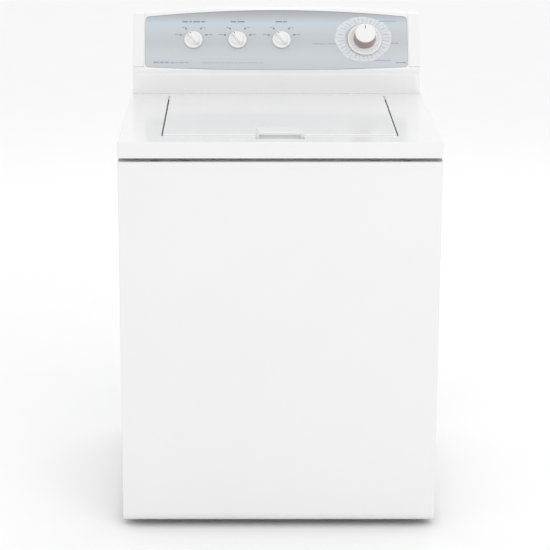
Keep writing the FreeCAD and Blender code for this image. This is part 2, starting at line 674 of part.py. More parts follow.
# ---- Knobs ----
def knobs():
    normal, up = normal_frame()
    dial = along_normal(TIMER_X, 1.5, 6, DIAL_R)
    dial = dial.makeFillet(1.8, edges_where(dial, lambda m, e: (m - on_face(TIMER_X, 6)).dot(normal) > -0.1))
    bore = along_normal(TIMER_X, -1, 60, KNOB_SHAFT_R + 4 + RUNNING_GAP)
    sleeve = along_normal(TIMER_X, 0.3, 1.5, 9)
    stem = along_normal(TIMER_X, -34, 7, KNOB_SHAFT_R)
    add("timer_dial", dial.fuse(sleeve).cut(bore).removeSplitter())
    cap = Part.makeCone(TIMER_CAP_R + 3, TIMER_CAP_R, 32, on_face(TIMER_X, 7.5), normal)
    front = edges_where(cap, lambda m, e: (m - on_face(TIMER_X, 39.5)).dot(normal) > -0.1)
    cap = cap.makeFillet(3.5, front)
    collar = along_normal(TIMER_X, 0.5, 10, KNOB_SHAFT_R + 4)
    add("timer_knob", fuse([cap, collar, stem]))
    for key, x in SELECTOR_XS.items():
        skirt = Part.makeCone(SELECTOR_R, SELECTOR_R - 1.5, 5, on_face(x, 1.2), normal)
        hub = Part.makeCone(13.5, 12.5, 10, on_face(x, 6), normal)
        grip = oriented_box(x, 5.5, 5, 21, 18.5)
        long_edges = edges_where(grip, lambda m, e: (m - on_face(x, 21)).dot(normal) > -0.1)
        grip = grip.makeFillet(2.0, long_edges).common(along_normal(x, 4, 22, SELECTOR_R - 3))
        grip.rotate(on_face(x, 0), normal, SELECTOR_TURN)
        stem = along_normal(x, -26, 8, KNOB_SHAFT_R)
        add(key + "_knob", skirt.fuse([hub, grip, stem]))


# ---- Tub group ----
def tub():
    wall = revolve([(0, TUB_FLOOR), (TUB_R - 12, TUB_FLOOR), (TUB_R, TUB_FLOOR + 12),
                    (TUB_R, TUB_TOP), (0, TUB_TOP)])
    inner_r = TUB_R - TUB_WALL
    hollow = revolve([(0, TUB_FLOOR + TUB_WALL), (inner_r - 10, TUB_FLOOR + TUB_WALL),
                      (inner_r, TUB_FLOOR + 14),
                      (inner_r, TUB_TOP + 5), (0, TUB_TOP + 5)])
    bead = revolve([(TUB_R - 1, TUB_TOP - 8), (TUB_R + 5, TUB_TOP - 8), (TUB_R + 5, TUB_TOP),
                    (TUB_R - 1, TUB_TOP)])
    reach = math.hypot(TUBE_X, TUBE_Y - TUB_Y)
    dome = box(-12, 12, -8, 8, 372, 396)
    dome.translate(V(TUBE_X, TUBE_Y, 0))
    toward = V(TUBE_X, TUBE_Y - TUB_Y, 0).normalize()
    bridge = Part.makeCylinder(9, reach - inner_r + 4, V(0, TUB_Y, 382) + toward * (inner_r - 2), toward)
    nipple = rod_z(TUBE_X, TUBE_Y, 390, 412, TUBE_BORE)
    sump = rod_z(SUMP_X, SUMP_Y, TUB_FLOOR - 34, TUB_FLOOR + 2, 18)
    body = fuse([wall, bead, dome, bridge, nipple, sump])
    body = body.cut(hollow).cut(rod_z(SUMP_X, SUMP_Y, TUB_FLOOR - 40, TUB_FLOOR + 20, 14))
    body = body.cut(rod_z(0, TUB_Y, TUB_FLOOR - 10, TUB_FLOOR + 20, 30))
    add("outer_tub", body)

    cover = [(COVER_INNER_R, TUB_TOP + 2), (TUB_R + 8, TUB_TOP + 0.2), (TUB_R + 8, TUB_TOP + 8),
             (COVER_INNER_R + 8, COVER_TOP), (COVER_INNER_R, COVER_TOP)]
    ring = revolve(cover)
    ring = ring.cut(revolve([(COVER_INNER_R + 4, TUB_TOP + 5), (TUB_R + 4, TUB_TOP + 3),
                             (TUB_R + 4, TUB_TOP + 5),
                             (COVER_INNER_R + 8, COVER_TOP - 3), (COVER_INNER_R + 4, COVER_TOP - 3)]))
    skirt = tube_z(0, TUB_Y, TUB_TOP - 12, TUB_TOP + 1, TUB_R + 8, TUB_R + 5.3)
    add("tub_cover_ring", fuse([ring, skirt]))

    frame = tube_z(0, TUB_Y, FRAME_LOW, TUB_FLOOR - 0.3, 150, 60)
    for x, y in corners():
        toward = V(x, y - TUB_Y, 0).normalize()
        side = V(-toward.y, toward.x, 0)
        reach = math.hypot(x, y - TUB_Y) + 20
        foot = V(0, TUB_Y, FRAME_LOW)
        quad = [foot + toward * 100 + side * 45, foot + toward * reach + side * 18,
                foot + toward * reach - side * 18, foot + toward * 100 - side * 45]
        arm = Part.Face(polygon(quad)).extrude(V(0, 0, 12))
        frame = frame.fuse(arm)
    frame = frame.fuse(box(100, 262, TUB_Y - 60, TUB_Y + 60, FRAME_LOW, FRAME_LOW + 10))
    holes = [rod_z(x, y, 250, 350, 12) for x, y in corners()]
    holes.append(rod_z(MOTOR_X, TUB_Y, 200, 350, 30))
    holes.append(rod_z(SUMP_X, SUMP_Y, 200, 350, 24))
    frame = frame.cut(Part.makeCompound(holes))
    cups = []
    for x, y in corners():
        cup = revolve([(ROD_R + 1.2, FRAME_LOW - 12), (20, FRAME_LOW - 12), (20, FRAME_LOW + 2),
                       (12, FRAME_LOW + 2),
                       (9.5, FRAME_LOW + 18), (ROD_R + 1.2, FRAME_LOW + 18)], x, y)
        cups.append(cup)
    add("tub_support_frame", fuse([frame] + cups))

    springs = []
    rods = []
    sockets = []
    for x, y in corners():
        springs.append(coil_spring(x, y, ROD_FOOT + 8.2, FRAME_LOW - 12.3, SPRING_MEAN_R,
                                   SPRING_WIRE_R, SPRING_TURNS))
        rod = rod_z(x, y, ROD_FOOT, ROD_BALL_Z, ROD_R)
        seat = rod_z(x, y, ROD_FOOT + 2, ROD_FOOT + 8, 19)
        knob = Part.makeSphere(ROD_BALL_R, V(x, y, ROD_BALL_Z))
        rods.append(fuse([rod, seat, knob]))
        bracket = box(x - 24, x + 24, y - 24, y + 24, 810, 824)
        wall_x = math.copysign(HALF_W - 0.4 - SHEET / 2, x)
        low, high = sorted((wall_x, x))
        web = box(low, high, y - 24, y + 24, 810, 813)
        flange_low, flange_high = sorted((wall_x, wall_x - math.copysign(3, x)))
        flange = box(flange_low, flange_high, y - 24, y + 24, 770, 813)
        room = ROD_BALL_R + 0.3
        socket = fuse([bracket, web, flange]).cut(Part.makeSphere(room, V(x, y, ROD_BALL_Z)))
        sockets.append(socket.cut(rod_z(x, y, 790, 840, 6.5)).cut(rod_z(x, y, ROD_BALL_Z, 840, room)))
    add("suspension_springs", Part.makeCompound(springs))
    add("suspension_rods", Part.makeCompound(rods))
    for name, side in (("cabinet_left_side", -1), ("cabinet_right_side", 1)):
        own = [socket for socket in sockets if socket.BoundBox.Center.x * side > 0]
        PARTS[name] = fuse([PARTS[name]] + own)


def coil_spring(x, y, z0, z1, mean_r, wire_r, turns):
    """Compression spring of round wire with ground ends."""
    rise = z1 - z0 - 2 * wire_r
    spine = Part.makeHelix(rise / turns, rise, mean_r)
    spine.translate(V(x, y, z0 + wire_r))
    ring = Part.Wire(Part.makeCircle(wire_r, V(x + mean_r, y, z0 + wire_r), Y_AXIS))
    return Part.Wire(spine.Edges).makePipeShell([ring], True, True)


def drive():
    housing = revolve([(SPIN_TUBE_R + 6.1, 228.1), (92, 228.1), (92, 236), (56, 240), (44, 262),
                       (42, 290), (59.8, 296),
                       (59.8, TUB_FLOOR - 0.3), (SPIN_TUBE_R + 6.1, TUB_FLOOR - 0.3)])
    add("bearing_housing", housing)
    bushes = [tube_z(0, TUB_Y, z, z + 16, SPIN_TUBE_R + 6, SPIN_TUBE_R + RUNNING_GAP) for z in (266, 304)]
    add("spin_bearings", Part.makeCompound(bushes))
    seal = tube_z(0, TUB_Y, TUB_FLOOR - 0.1, TUB_FLOOR + 8, 29.8, SPIN_TUBE_R + 0.4)
    add("tub_seal", seal)

    case = revolve([(30, 130), (62, 130), (78, 150), (78, 228), (0, 228), (0, 225), (74, 225), (74, 152),
                    (60, 134), (30, 134)])
    case = case.cut(rod_z(0, TUB_Y, 220, 240, SPIN_TUBE_R + 4))
    lug_ring = tube_z(0, TUB_Y, 218, 228, 92, 70)
    add("gearcase", fuse([case, lug_ring]))

    teeth_r = PULLEY_R
    groove = BELT_DEPTH
    rim = revolve([(teeth_r - 16, PULLEY_Z - 9), (teeth_r, PULLEY_Z - 9), (teeth_r - groove, PULLEY_Z - 3),
                   (teeth_r - groove, PULLEY_Z + 3), (teeth_r, PULLEY_Z + 9), (teeth_r - 16, PULLEY_Z + 9)])
    hub = tube_z(0, TUB_Y, PULLEY_Z - 12, PULLEY_Z + 14, 22, 9)
    spokes = []
    for n in range(6):
        spoke = box(18, teeth_r - 12, -7, 7, PULLEY_Z - 4, PULLEY_Z + 4)
        spoke.rotate(V(0, 0, 0), Z_AXIS, 60 * n)
        spoke.translate(V(0, TUB_Y, 0))
        spokes.append(spoke)
    shaft = rod_z(0, TUB_Y, PULLEY_Z - 14, 168, 9)
    add("drive_pulley", fuse([rim, hub, shaft] + spokes))

    motor = fuse([rod_z(MOTOR_X, TUB_Y, MOTOR_LOW, MOTOR_HIGH, MOTOR_R),
                  rod_z(MOTOR_X, TUB_Y, MOTOR_HIGH, 272, 40)])
    ears = box(MOTOR_X - 64, MOTOR_X + 88, TUB_Y - 12, TUB_Y + 12, 262, 268)
    posts = [rod_z(MOTOR_X + dx, TUB_Y, 268, FRAME_LOW - 0.1, 6) for dx in (-54, 78)]
    motor = fuse([motor, ears] + posts)
    motor = motor.cut(rod_z(MOTOR_X, TUB_Y, MOTOR_LOW + 4, MOTOR_HIGH - 4, MOTOR_R - 5))
    for z0, z1 in ((MOTOR_LOW - 10, MOTOR_LOW + 10), (MOTOR_HIGH - 10, MOTOR_HIGH + 4)):
        motor = motor.cut(rod_z(MOTOR_X, TUB_Y, z0, z1, 6 + RUNNING_GAP))
    slots = []
    for n in range(12):
        slot = box(45, 80, -4, 4, 150, 176)
        slot.rotate(V(0, 0, 0), Z_AXIS, 30 * n + 15)
        slot.translate(V(MOTOR_X, TUB_Y, 0))
        slots.append(slot)
    add("motor_housing", motor.cut(Part.makeCompound(slots)))
    root_r = MOTOR_PULLEY_R - groove
    small = revolve([(0, PULLEY_Z - 9), (MOTOR_PULLEY_R, PULLEY_Z - 9), (root_r, PULLEY_Z - 3),
                     (root_r, PULLEY_Z + 3), (MOTOR_PULLEY_R, PULLEY_Z + 9), (0, PULLEY_Z + 9)],
                     MOTOR_X, TUB_Y)
    rotor = fuse([small, rod_z(MOTOR_X, TUB_Y, 78, 264, 6), rod_z(MOTOR_X, TUB_Y, 180, 236, 33)])
    add("motor_rotor", rotor)
    add("drive_belt", belt())


def belt():
    """V belt round both pulleys, a little clear of their grooves."""
    big = PULLEY_R - BELT_DEPTH + 0.4
    small = MOTOR_PULLEY_R - BELT_DEPTH + 0.4
    lean = math.asin((big - small) / MOTOR_X)

    def loop(grow):
        rb, rs = big + grow, small + grow
        c, s = math.sin(lean), math.cos(lean)
        z = PULLEY_Z - 2.7
        a = V(rb * c, TUB_Y + rb * s, z)
        b = V(MOTOR_X + rs * c, TUB_Y + rs * s, z)
        d = V(MOTOR_X + rs * c, TUB_Y - rs * s, z)
        e = V(rb * c, TUB_Y - rb * s, z)
        edges = [
            Part.makeLine(a, b),
            Part.Arc(b, V(MOTOR_X + rs, TUB_Y, z), d).toShape(),
            Part.makeLine(d, e),
            Part.Arc(e, V(-rb, TUB_Y, z), a).toShape(),
        ]
        return Part.Face(Part.Wire(edges)).extrude(V(0, 0, 5.4))

    return loop(5.0).cut(loop(0.0))


def basket():
    outer = revolve([(0, BASKET_FLOOR), (BASKET_R - 20, BASKET_FLOOR), (BASKET_R, BASKET_FLOOR + 20),
                     (BASKET_R, BASKET_TOP), (0, BASKET_TOP)])
    r = BASKET_R - BASKET_WALL
    inner = revolve([(0, BASKET_FLOOR + BASKET_WALL), (r - 19.4, BASKET_FLOOR + BASKET_WALL),
                     (r, BASKET_FLOOR + 20.6),
                     (r, BASKET_TOP + 5), (0, BASKET_TOP + 5)])
    shell = outer.cut(inner)
    holes = []
    below, above = BASKET_HOLE_MARGINS
    pitch = (BASKET_TOP - BASKET_FLOOR - below - above) / (BASKET_HOLE_ROWS - 1)
    for row in range(BASKET_HOLE_ROWS):
        for n in range(BASKET_HOLES_AROUND):
            angle = 2 * math.pi * (n + 0.5 * (row % 2)) / BASKET_HOLES_AROUND
            toward = V(math.cos(angle), math.sin(angle), 0)
            start = V(0, TUB_Y, BASKET_FLOOR + below + row * pitch) + toward * (BASKET_R - 10)
            holes.append(Part.makeCylinder(BASKET_HOLE_R, 20, start, toward))
    shell = shell.cut(Part.makeCompound(holes))
    add("wash_basket", shell.cut(rod_z(0, TUB_Y, BASKET_FLOOR - 5, BASKET_FLOOR + 5, 46)))

    fit_r = BASKET_R - BASKET_WALL - 0.1
    ring = revolve([(RING_INNER_R, RING_TOP - 30), (fit_r, RING_TOP - 42), (fit_r, BASKET_TOP + 0.1),
                    (BASKET_R + 3, BASKET_TOP + 0.1), (BASKET_R + 3, RING_TOP - 6), (BASKET_R - 3, RING_TOP),
                    (RING_INNER_R + 6, RING_TOP), (RING_INNER_R, RING_TOP - 8)])
    brine = revolve([(RING_INNER_R + 4, RING_TOP - 28), (BASKET_R - 6, RING_TOP - 34),
                     (BASKET_R - 6, RING_TOP - 5),
                     (RING_INNER_R + 6, RING_TOP - 5)])
    add("balance_ring", ring.cut(brine))

    seat_z = BASKET_FLOOR + BASKET_WALL + 0.1
    hub = revolve([(SPIN_TUBE_R, BASKET_FLOOR - 2), (45.8, BASKET_FLOOR - 2), (45.8, seat_z), (62, seat_z),
                   (62, BASKET_FLOOR + 8), (30, BASKET_FLOOR + 20), (SPIN_TUBE_R, BASKET_FLOOR + 20)])
    spin_tube = tube_z(0, TUB_Y, 200, BASKET_FLOOR + 20, SPIN_TUBE_R, SHAFT_R + RUNNING_GAP)
    add("basket_hub", fuse([hub, spin_tube]))


def agitator():
    foot_z = BASKET_FLOOR + 26
    profile = [(0, foot_z), (128, foot_z), (134, foot_z + 6), (100, foot_z + 30), (78, foot_z + 70),
               (62, foot_z + 190),
               (50, AGITATOR_TOP), (0, AGITATOR_TOP)]
    inner = [(0, foot_z - 2), (122, foot_z - 2), (122, foot_z + 4), (94, foot_z + 26),
             (72, foot_z + 68), (56, foot_z + 190),
             (45, AGITATOR_TOP - 4), (0, AGITATOR_TOP - 4)]
    post = revolve(profile).cut(revolve(inner))
    fins = []
    for n in range(4):
        fin = Part.Face(polygon([V(45, -4, foot_z + 8), V(168, -4, foot_z + 4), V(172, -4, foot_z + 14),
                                 V(150, -4, foot_z + 46), V(100, -4, foot_z + 120), V(66, -4, foot_z + 230),
                                 V(45, -4, foot_z + 230)]))
        fin = fin.extrude(V(0, 8, 0))
        fin.rotate(V(0, 0, 0), Z_AXIS, 90 * n + 45)
        fin.translate(V(0, TUB_Y, 0))
        fins.append(fin)
    body = fuse([post] + fins).cut(revolve(inner))
    sleeve = tube_z(0, TUB_Y, foot_z + 60, AGITATOR_TOP, 16, SHAFT_R)
    spider = tube_z(0, TUB_Y, foot_z + 150, foot_z + 158, 58.5, 12)
    body = fuse([body, sleeve, spider]).cut(rod_z(0, TUB_Y, 300, 800, SHAFT_R))
    add("agitator", body)
    cap = revolve([(0, AGITATOR_TOP + 0.1), (50, AGITATOR_TOP + 0.1), (52, AGITATOR_TOP + 6),
                   (44, AGITATOR_TOP + 40),
                   (36, AGITATOR_TOP + 46), (0, AGITATOR_TOP + 46)])
    cap_hollow = revolve([(0, AGITATOR_TOP - 1), (44, AGITATOR_TOP - 1), (39, AGITATOR_TOP + 36),
                          (0, AGITATOR_TOP + 42)])
    add("agitator_cap", cap.cut(cap_hollow))
    add("agitator_shaft", rod_z(0, TUB_Y, 206, AGITATOR_TOP - 8, SHAFT_R - 0.01))


# ---- Water and drain ----
def rod_y(x, y0, y1, z, radius):
    """Cylinder along Y."""
    return Part.makeCylinder(radius, y1 - y0, V(x, y0, z), Y_AXIS)


def water():
    valve_parts = [box(-232, -148, 262, REAR_PANEL_Y - 0.2, 752, 788)]
    for x in INLET_XS:
        valve_parts.append(rod_y(x, REAR_PANEL_Y - 6, REAR_PANEL_Y, FITTING_Z, INLET_R + 2.1))
        valve_parts.append(rod_y(x, REAR_PANEL_Y - 4, BACK - 1, FITTING_Z, INLET_R))
        valve_parts.append(rod_z(x, 280, 700, 752, 14))
    valve_parts.append(rod_z(-190, 284, 788, 806, 7.5))
    valve = fuse(valve_parts)
    for x in INLET_XS:
        valve = valve.cut(rod_y(x, BACK - 19, BACK + 11, FITTING_Z, 9))
    add("water_inlet_valve", valve)
    nozzle_z = 838
    fill_route = [(-190, 284, 806.1), (-190, 284, nozzle_z), (-60, 190, nozzle_z), (-24, 190, nozzle_z)]
    add("fill_hose", hose(fill_route, 7.8, 16, 5.0))
    nozzle = box(-24, 60, 150, 205, nozzle_z - 10, nozzle_z + 10)
    nozzle = nozzle.cut(box(-20, 56, 140, 200, nozzle_z - 7, nozzle_z + 7))
    add("fill_nozzle", nozzle.cut(Part.makeCylinder(7, 10, V(-28, 190, nozzle_z), X_AXIS)))

    drain_pump()
    add("tub_to_pump_hose", sump_hose())

    back_y = 276.0
    x, low_z = PUMP_X + 20, 66.0
    route = [(x, PUMP_Y + 60.1, PUMP_Z), (x, -130, PUMP_Z), (x, -80, low_z), (x, 200, low_z),
             (DRAIN_X, back_y, low_z), (DRAIN_X, back_y, FITTING_Z), (DRAIN_X, 306, FITTING_Z)]
    add("internal_drain_hose", hose(route, HOSE_R, 24, HOSE_BORE))
    outside, inside = REAR_PANEL_Y + SHEET + 0.1, REAR_PANEL_Y - 4.1
    spigot = fuse([rod_y(DRAIN_X, 306.2, BACK - 1, FITTING_Z, SPIGOT_R),
                   rod_y(DRAIN_X, outside, outside + 4, FITTING_Z, 24),
                   rod_y(DRAIN_X, inside, inside + 4, FITTING_Z, 24)])
    add("drain_outlet", spigot.cut(rod_y(DRAIN_X, 290, 350, FITTING_Z, 10)))

    grommet = fuse([rod_y(CORD_X, REAR_PANEL_Y - 4, REAR_PANEL_Y + 5, FITTING_Z, 8.8),
                    rod_y(CORD_X, outside, outside + 4, FITTING_Z, 14),
                    rod_y(CORD_X, REAR_PANEL_Y - 4, REAR_PANEL_Y - 0.2, FITTING_Z, 12)])
    add("power_cord_bushing", grommet.cut(rod_y(CORD_X, 300, 340, FITTING_Z, CORD_R)))

    loom_x = 306
    loom = [(LOOM_X, LOOM_Y, 905), (LOOM_X, LOOM_Y, 830), (LOOM_X + 40, LOOM_Y + 20, 815), (292, 290, 815),
            (loom_x, 290, 780), (loom_x, 290, 75), (loom_x, 240, 66), (loom_x, -150, 66)]
    add("wiring_harness", hose(loom, 5.5, 12))


def drain_pump():
    port_x, port_y = PUMP_X + 16, PUMP_Y + 6
    pump = fuse([rod_z(PUMP_X, PUMP_Y, PUMP_Z - 20, PUMP_Z + 20, PUMP_R),
                 rod_y(PUMP_X + 20, PUMP_Y + 20, PUMP_Y + 60, PUMP_Z, 10.5),
                 rod_z(port_x, port_y, PUMP_Z + 18, PUMP_Z + 42, 12),
                 box(PUMP_X - PUMP_R, PUMP_X + PUMP_R, PUMP_Y - 8, PUMP_Y + 8, BASE_HIGH + 0.2,
                     BASE_HIGH + 3),
                 box(PUMP_X - 28, PUMP_X + 28, PUMP_Y - 6, PUMP_Y + 6, BASE_HIGH + 3, PUMP_Z - 18)])
    pump = pump.cut(rod_z(PUMP_X, PUMP_Y, PUMP_Z - 16, PUMP_Z + 16, PUMP_R - 5))
    pump = pump.cut(rod_z(port_x, port_y, PUMP_Z + 10, PUMP_Z + 50, 8))
    pump = pump.cut(rod_y(PUMP_X + 20, PUMP_Y + 10, PUMP_Y + 70, PUMP_Z, 7))
    pump = pump.cut(rod_z(PUMP_X, PUMP_Y, 60, PUMP_Z, 3 + RUNNING_GAP))
    add("drain_pump_body", pump)
    vanes = [rod_z(PUMP_X, PUMP_Y, PUMP_Z - 12, PUMP_Z + 12, 6), rod_z(PUMP_X, PUMP_Y, 66, PUMP_Z, 3)]
    for n in range(5):
        vane = box(0, PUMP_R - 9, -1.5, 1.5, PUMP_Z - 10, PUMP_Z + 10)
        vane.rotate(V(0, 0, 0), Z_AXIS, 72 * n)
        vane.translate(V(PUMP_X, PUMP_Y, 0))
        vanes.append(vane)
    add("pump_impeller", fuse(vanes))


def sump_hose():
    """Short drop hose from the tub's sump to the pump."""
    top_x, top_y, top_z = SUMP_X, SUMP_Y, TUB_FLOOR - 34.1
    low_x, low_y, low_z = PUMP_X + 16, PUMP_Y + 6, PUMP_Z + 42.1
    route = [(top_x, top_y, top_z), (top_x, top_y, top_z - 50), (low_x, low_y, low_z + 60),
             (low_x, low_y, low_z)]
    return hose(route, HOSE_R, 30, 9.5)


# ---- Feet and fasteners ----
def feet():
    for side, x in (("left", -FOOT_X), ("right", FOOT_X)):
        for end, y in zip(("front", "rear"), FOOT_YS):
            pad = Part.makeCone(19, 15, 9, V(x, y, 0)).fuse(rod_z(x, y, 8, 46, FOOT_STUD_R))
            nut = []
            for k in range(6):
                a = math.radians(60 * k)
                nut.append(V(x + 9.5 * math.cos(a), y + 9.5 * math.sin(a), 9))
            nut = Part.Face(polygon(nut)).extrude(V(0, 0, 5))
            add("foot_%s_%s" % (side, end), fuse([pad, nut]))


def screw(point, direction, head_r, length):
    """Pan head screw with a cross recess; point is under the head."""
    head = Part.makeCylinder(head_r, head_r * 0.55, point, direction)
    rim = [e for e in head.Edges if abs((e.valueAt(e.FirstParameter) - point).dot(direction)) > head_r * 0.5]
    head = head.makeFillet(head_r * 0.35, rim)
    stem = Part.makeCylinder(head_r * 0.45, length, point - direction * length, direction)
    return head.fuse(stem)


def fasteners():
    rear = []
    holes = []
    for x in (-REAR_SCREW_X, REAR_SCREW_X):
        for z in REAR_SCREW_ZS:
            rear.append(screw(V(x, FLANGE_Y + SHEET + 0.02, z), Y_AXIS, 4.5, 9))
            holes.append(rod_y(x, REAR_PANEL_Y - 10, REAR_PANEL_Y + 10, z, 2.1))
    add("rear_panel_screws", Part.makeCompound(rear))
    for name in ("cabinet_left_side", "cabinet_right_side", "cabinet_rear_panel"):
        PARTS[name] = PARTS[name].cut(Part.makeCompound(holes))


def main():
    cabinet()
    worktop()
    lid()
    console()
    mechanism()
    knobs()
    tub()
    drive()
    basket()
    agitator()
    water()
    feet()
    fasteners()
    os.makedirs("parts", exist_ok=True)
    for name, shape in PARTS.items():
        shape.exportStep("parts/%s.step" % name)
    print(len(PARTS), "nodes")


main()
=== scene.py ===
import json
import math

import bmesh
import bpy
from mathutils import Matrix, Vector


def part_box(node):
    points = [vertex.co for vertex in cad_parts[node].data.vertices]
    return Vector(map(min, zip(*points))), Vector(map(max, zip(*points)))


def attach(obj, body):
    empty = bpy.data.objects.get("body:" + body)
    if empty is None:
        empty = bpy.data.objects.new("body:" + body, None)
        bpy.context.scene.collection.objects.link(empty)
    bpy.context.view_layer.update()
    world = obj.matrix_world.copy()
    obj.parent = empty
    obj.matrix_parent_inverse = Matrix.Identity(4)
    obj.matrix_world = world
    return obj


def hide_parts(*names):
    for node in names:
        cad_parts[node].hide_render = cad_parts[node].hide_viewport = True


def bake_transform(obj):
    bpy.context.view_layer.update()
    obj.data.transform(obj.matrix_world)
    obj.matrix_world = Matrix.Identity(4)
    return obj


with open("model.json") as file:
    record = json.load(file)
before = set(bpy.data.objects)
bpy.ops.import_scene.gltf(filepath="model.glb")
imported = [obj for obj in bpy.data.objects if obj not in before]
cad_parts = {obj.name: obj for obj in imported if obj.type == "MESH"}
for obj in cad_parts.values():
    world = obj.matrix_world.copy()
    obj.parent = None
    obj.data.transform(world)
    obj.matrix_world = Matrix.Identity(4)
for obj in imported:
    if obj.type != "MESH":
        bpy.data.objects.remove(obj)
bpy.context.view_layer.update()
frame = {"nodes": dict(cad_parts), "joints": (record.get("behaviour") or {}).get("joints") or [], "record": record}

MM = 0.001
JOINTS = {j["name"]: j for j in frame["joints"]}

# The console's face is part of a round bar that lies along X. Its middle and its tilt are those of the
# knob axes; its radius is the one driving size that the frame doesn't state.
FACE_R = 0.252
TIMER = Vector(JOINTS["timer_dial_turn"]["pos_m"])
FACE_NORMAL = Vector(JOINTS["timer_dial_turn"]["axis"]).normalized()
FACE_TILT = math.asin(FACE_NORMAL.z)
FACE_CENTRE = Vector((0, TIMER.y, TIMER.z)) - FACE_NORMAL * FACE_R
SELECTOR_TURN = 38               # degrees that the finger bars stand turned at rest
SELECTORS = ("load_size", "water_temperature", "fabric_care")
KNOBS = {name: Vector(JOINTS[name + "_turn"]["pos_m"]) for name in SELECTORS}


# ---- Camera and light ----
def add_camera():
    """Stands where the picture was taken from, a little left of the middle and above the console."""
    camera = bpy.data.cameras.new("camera")
    camera.sensor_fit = "HORIZONTAL"
    camera.sensor_width = 36
    camera.lens = 131.1
    camera.shift_x = 0.055
    camera.shift_y = -0.07
    camera.clip_end = 200
    body = bpy.data.objects.new("camera", camera)
    bpy.context.scene.collection.objects.link(body)
    body.location = (-0.0749, -4.4477, 1.7665)
    pitch = math.radians(14.94)
    body.rotation_euler = (math.pi / 2 - pitch, 0, 0)
    bpy.context.scene.camera = body


def area_light(name, where, aim, size, power, colour=(1, 1, 1)):
    light = bpy.data.lights.new(name, "AREA")
    light.shape = "RECTANGLE"
    light.size, light.size_y = size
    light.energy = power
    light.color = colour
    body = bpy.data.objects.new(name, light)
    bpy.context.scene.collection.objects.link(body)
    body.location = where
    body.rotation_euler = (Vector(aim) - Vector(where)).to_track_quat("-Z", "Y").to_euler()


def add_light():
    world = bpy.data.worlds.new("studio")
    bpy.context.scene.world = world
    world.use_nodes = True
    sky = world.node_tree.nodes["Background"]
    sky.inputs["Color"].default_value = (1, 1, 1, 1)
    sky.inputs["Strength"].default_value = 1.0
    middle = (0, 0, 0.6)
    area_light("key", (1.9, -3.4, 2.7), middle, (2.2, 2.2), 27)
    area_light("fill", (-3.0, -2.4, 1.4), middle, (2.0, 2.4), 5)
    area_light("rim", (0.4, 2.6, 2.6), middle, (2.4, 1.6), 10)
    bpy.context.scene.view_settings.view_transform = "Standard"


# ---- Materials ----
def new_material(name):
    material = bpy.data.materials.new(name)
    material.use_nodes = True
    return material, material.node_tree.nodes, material.node_tree.links


def grain(nodes, links, scale, detail=2.0, stretch=(1, 1, 1)):
    """Noise texture in the object's own metres."""
    place = nodes.new("ShaderNodeTexCoord")
    mapping = nodes.new("ShaderNodeMapping")
    mapping.inputs["Scale"].default_value = stretch
    noise = nodes.new("ShaderNodeTexNoise")
    noise.inputs["Scale"].default_value = scale
    noise.inputs["Detail"].default_value = detail
    links.new(place.outputs["Object"], mapping.inputs["Vector"])
    links.new(mapping.outputs["Vector"], noise.inputs["Vector"])
    return noise


def ramp(nodes, links, source, stops):
    """Colour ramp fed by a factor; stops are (place, colour)."""
    node = nodes.new("ShaderNodeValToRGB")
    while len(node.color_ramp.elements) < len(stops):
        node.color_ramp.elements.new(0.5)
    for element, (place, colour) in zip(node.color_ramp.elements, stops):
        element.position = place
        element.color = (*colour, 1)
    links.new(source, node.inputs["Fac"])
    return node


def surface(name, colour, roughness, metallic=0.0, spread=0.03, colour_scale=6, grain_scale=400, bump=0.05,
            bump_distance=0.0002, stretch=(1, 1, 1), rough_spread=0.06, coat=0.0, detail=2.0, specular=0.5):
    """Shader with slight variation of colour, a varied roughness and a fine surface grain."""
    material, nodes, links = new_material(name)
    shader = nodes["Principled BSDF"]
    shader.inputs["Metallic"].default_value = metallic
    shader.inputs["Coat Weight"].default_value = coat
    shader.inputs["Coat Roughness"].default_value = 0.08
    shader.inputs["Specular IOR Level"].default_value = specular
    clouds = grain(nodes, links, colour_scale, 3.0, stretch)
    dark = tuple(c * (1 - spread) for c in colour)
    light = tuple(min(1.0, c * (1 + spread)) for c in colour)
    tint = ramp(nodes, links, clouds.outputs["Fac"], ((0.3, dark), (0.7, light)))
    links.new(tint.outputs["Color"], shader.inputs["Base Color"])
    fine = grain(nodes, links, grain_scale, detail, stretch)
    spread_node = nodes.new("ShaderNodeMapRange")
    spread_node.inputs["To Min"].default_value = max(0.02, roughness - rough_spread)
    spread_node.inputs["To Max"].default_value = min(1.0, roughness + rough_spread)
    links.new(fine.outputs["Fac"], spread_node.inputs["Value"])
    links.new(spread_node.outputs["Result"], shader.inputs["Roughness"])
    relief = nodes.new("ShaderNodeBump")
    relief.inputs["Strength"].default_value = bump
    relief.inputs["Distance"].default_value = bump_distance
    links.new(fine.outputs["Fac"], relief.inputs["Height"])
    links.new(relief.outputs["Normal"], shader.inputs["Normal"])
    return material


def spangle(name, colour):
    """Zinc coated sheet: flat crystals that each catch the light a little differently."""
    material, nodes, links = new_material(name)
    shader = nodes["Principled BSDF"]
    shader.inputs["Metallic"].default_value = 0.85
    place = nodes.new("ShaderNodeTexCoord")
    cells = nodes.new("ShaderNodeTexVoronoi")
    cells.inputs["Scale"].default_value = 90
    links.new(place.outputs["Object"], cells.inputs["Vector"])
    grey = nodes.new("ShaderNodeRGBToBW")
    links.new(cells.outputs["Color"], grey.inputs["Color"])
    tint = ramp(nodes, links, grey.outputs["Val"], ((0.1, tuple(c * 0.86 for c in colour)), (0.9, colour)))
    links.new(tint.outputs["Color"], shader.inputs["Base Color"])
    rough = nodes.new("ShaderNodeMapRange")
    rough.inputs["To Min"].default_value = 0.32
    rough.inputs["To Max"].default_value = 0.52
    links.new(grey.outputs["Val"], rough.inputs["Value"])
    links.new(rough.outputs["Result"], shader.inputs["Roughness"])
    return material


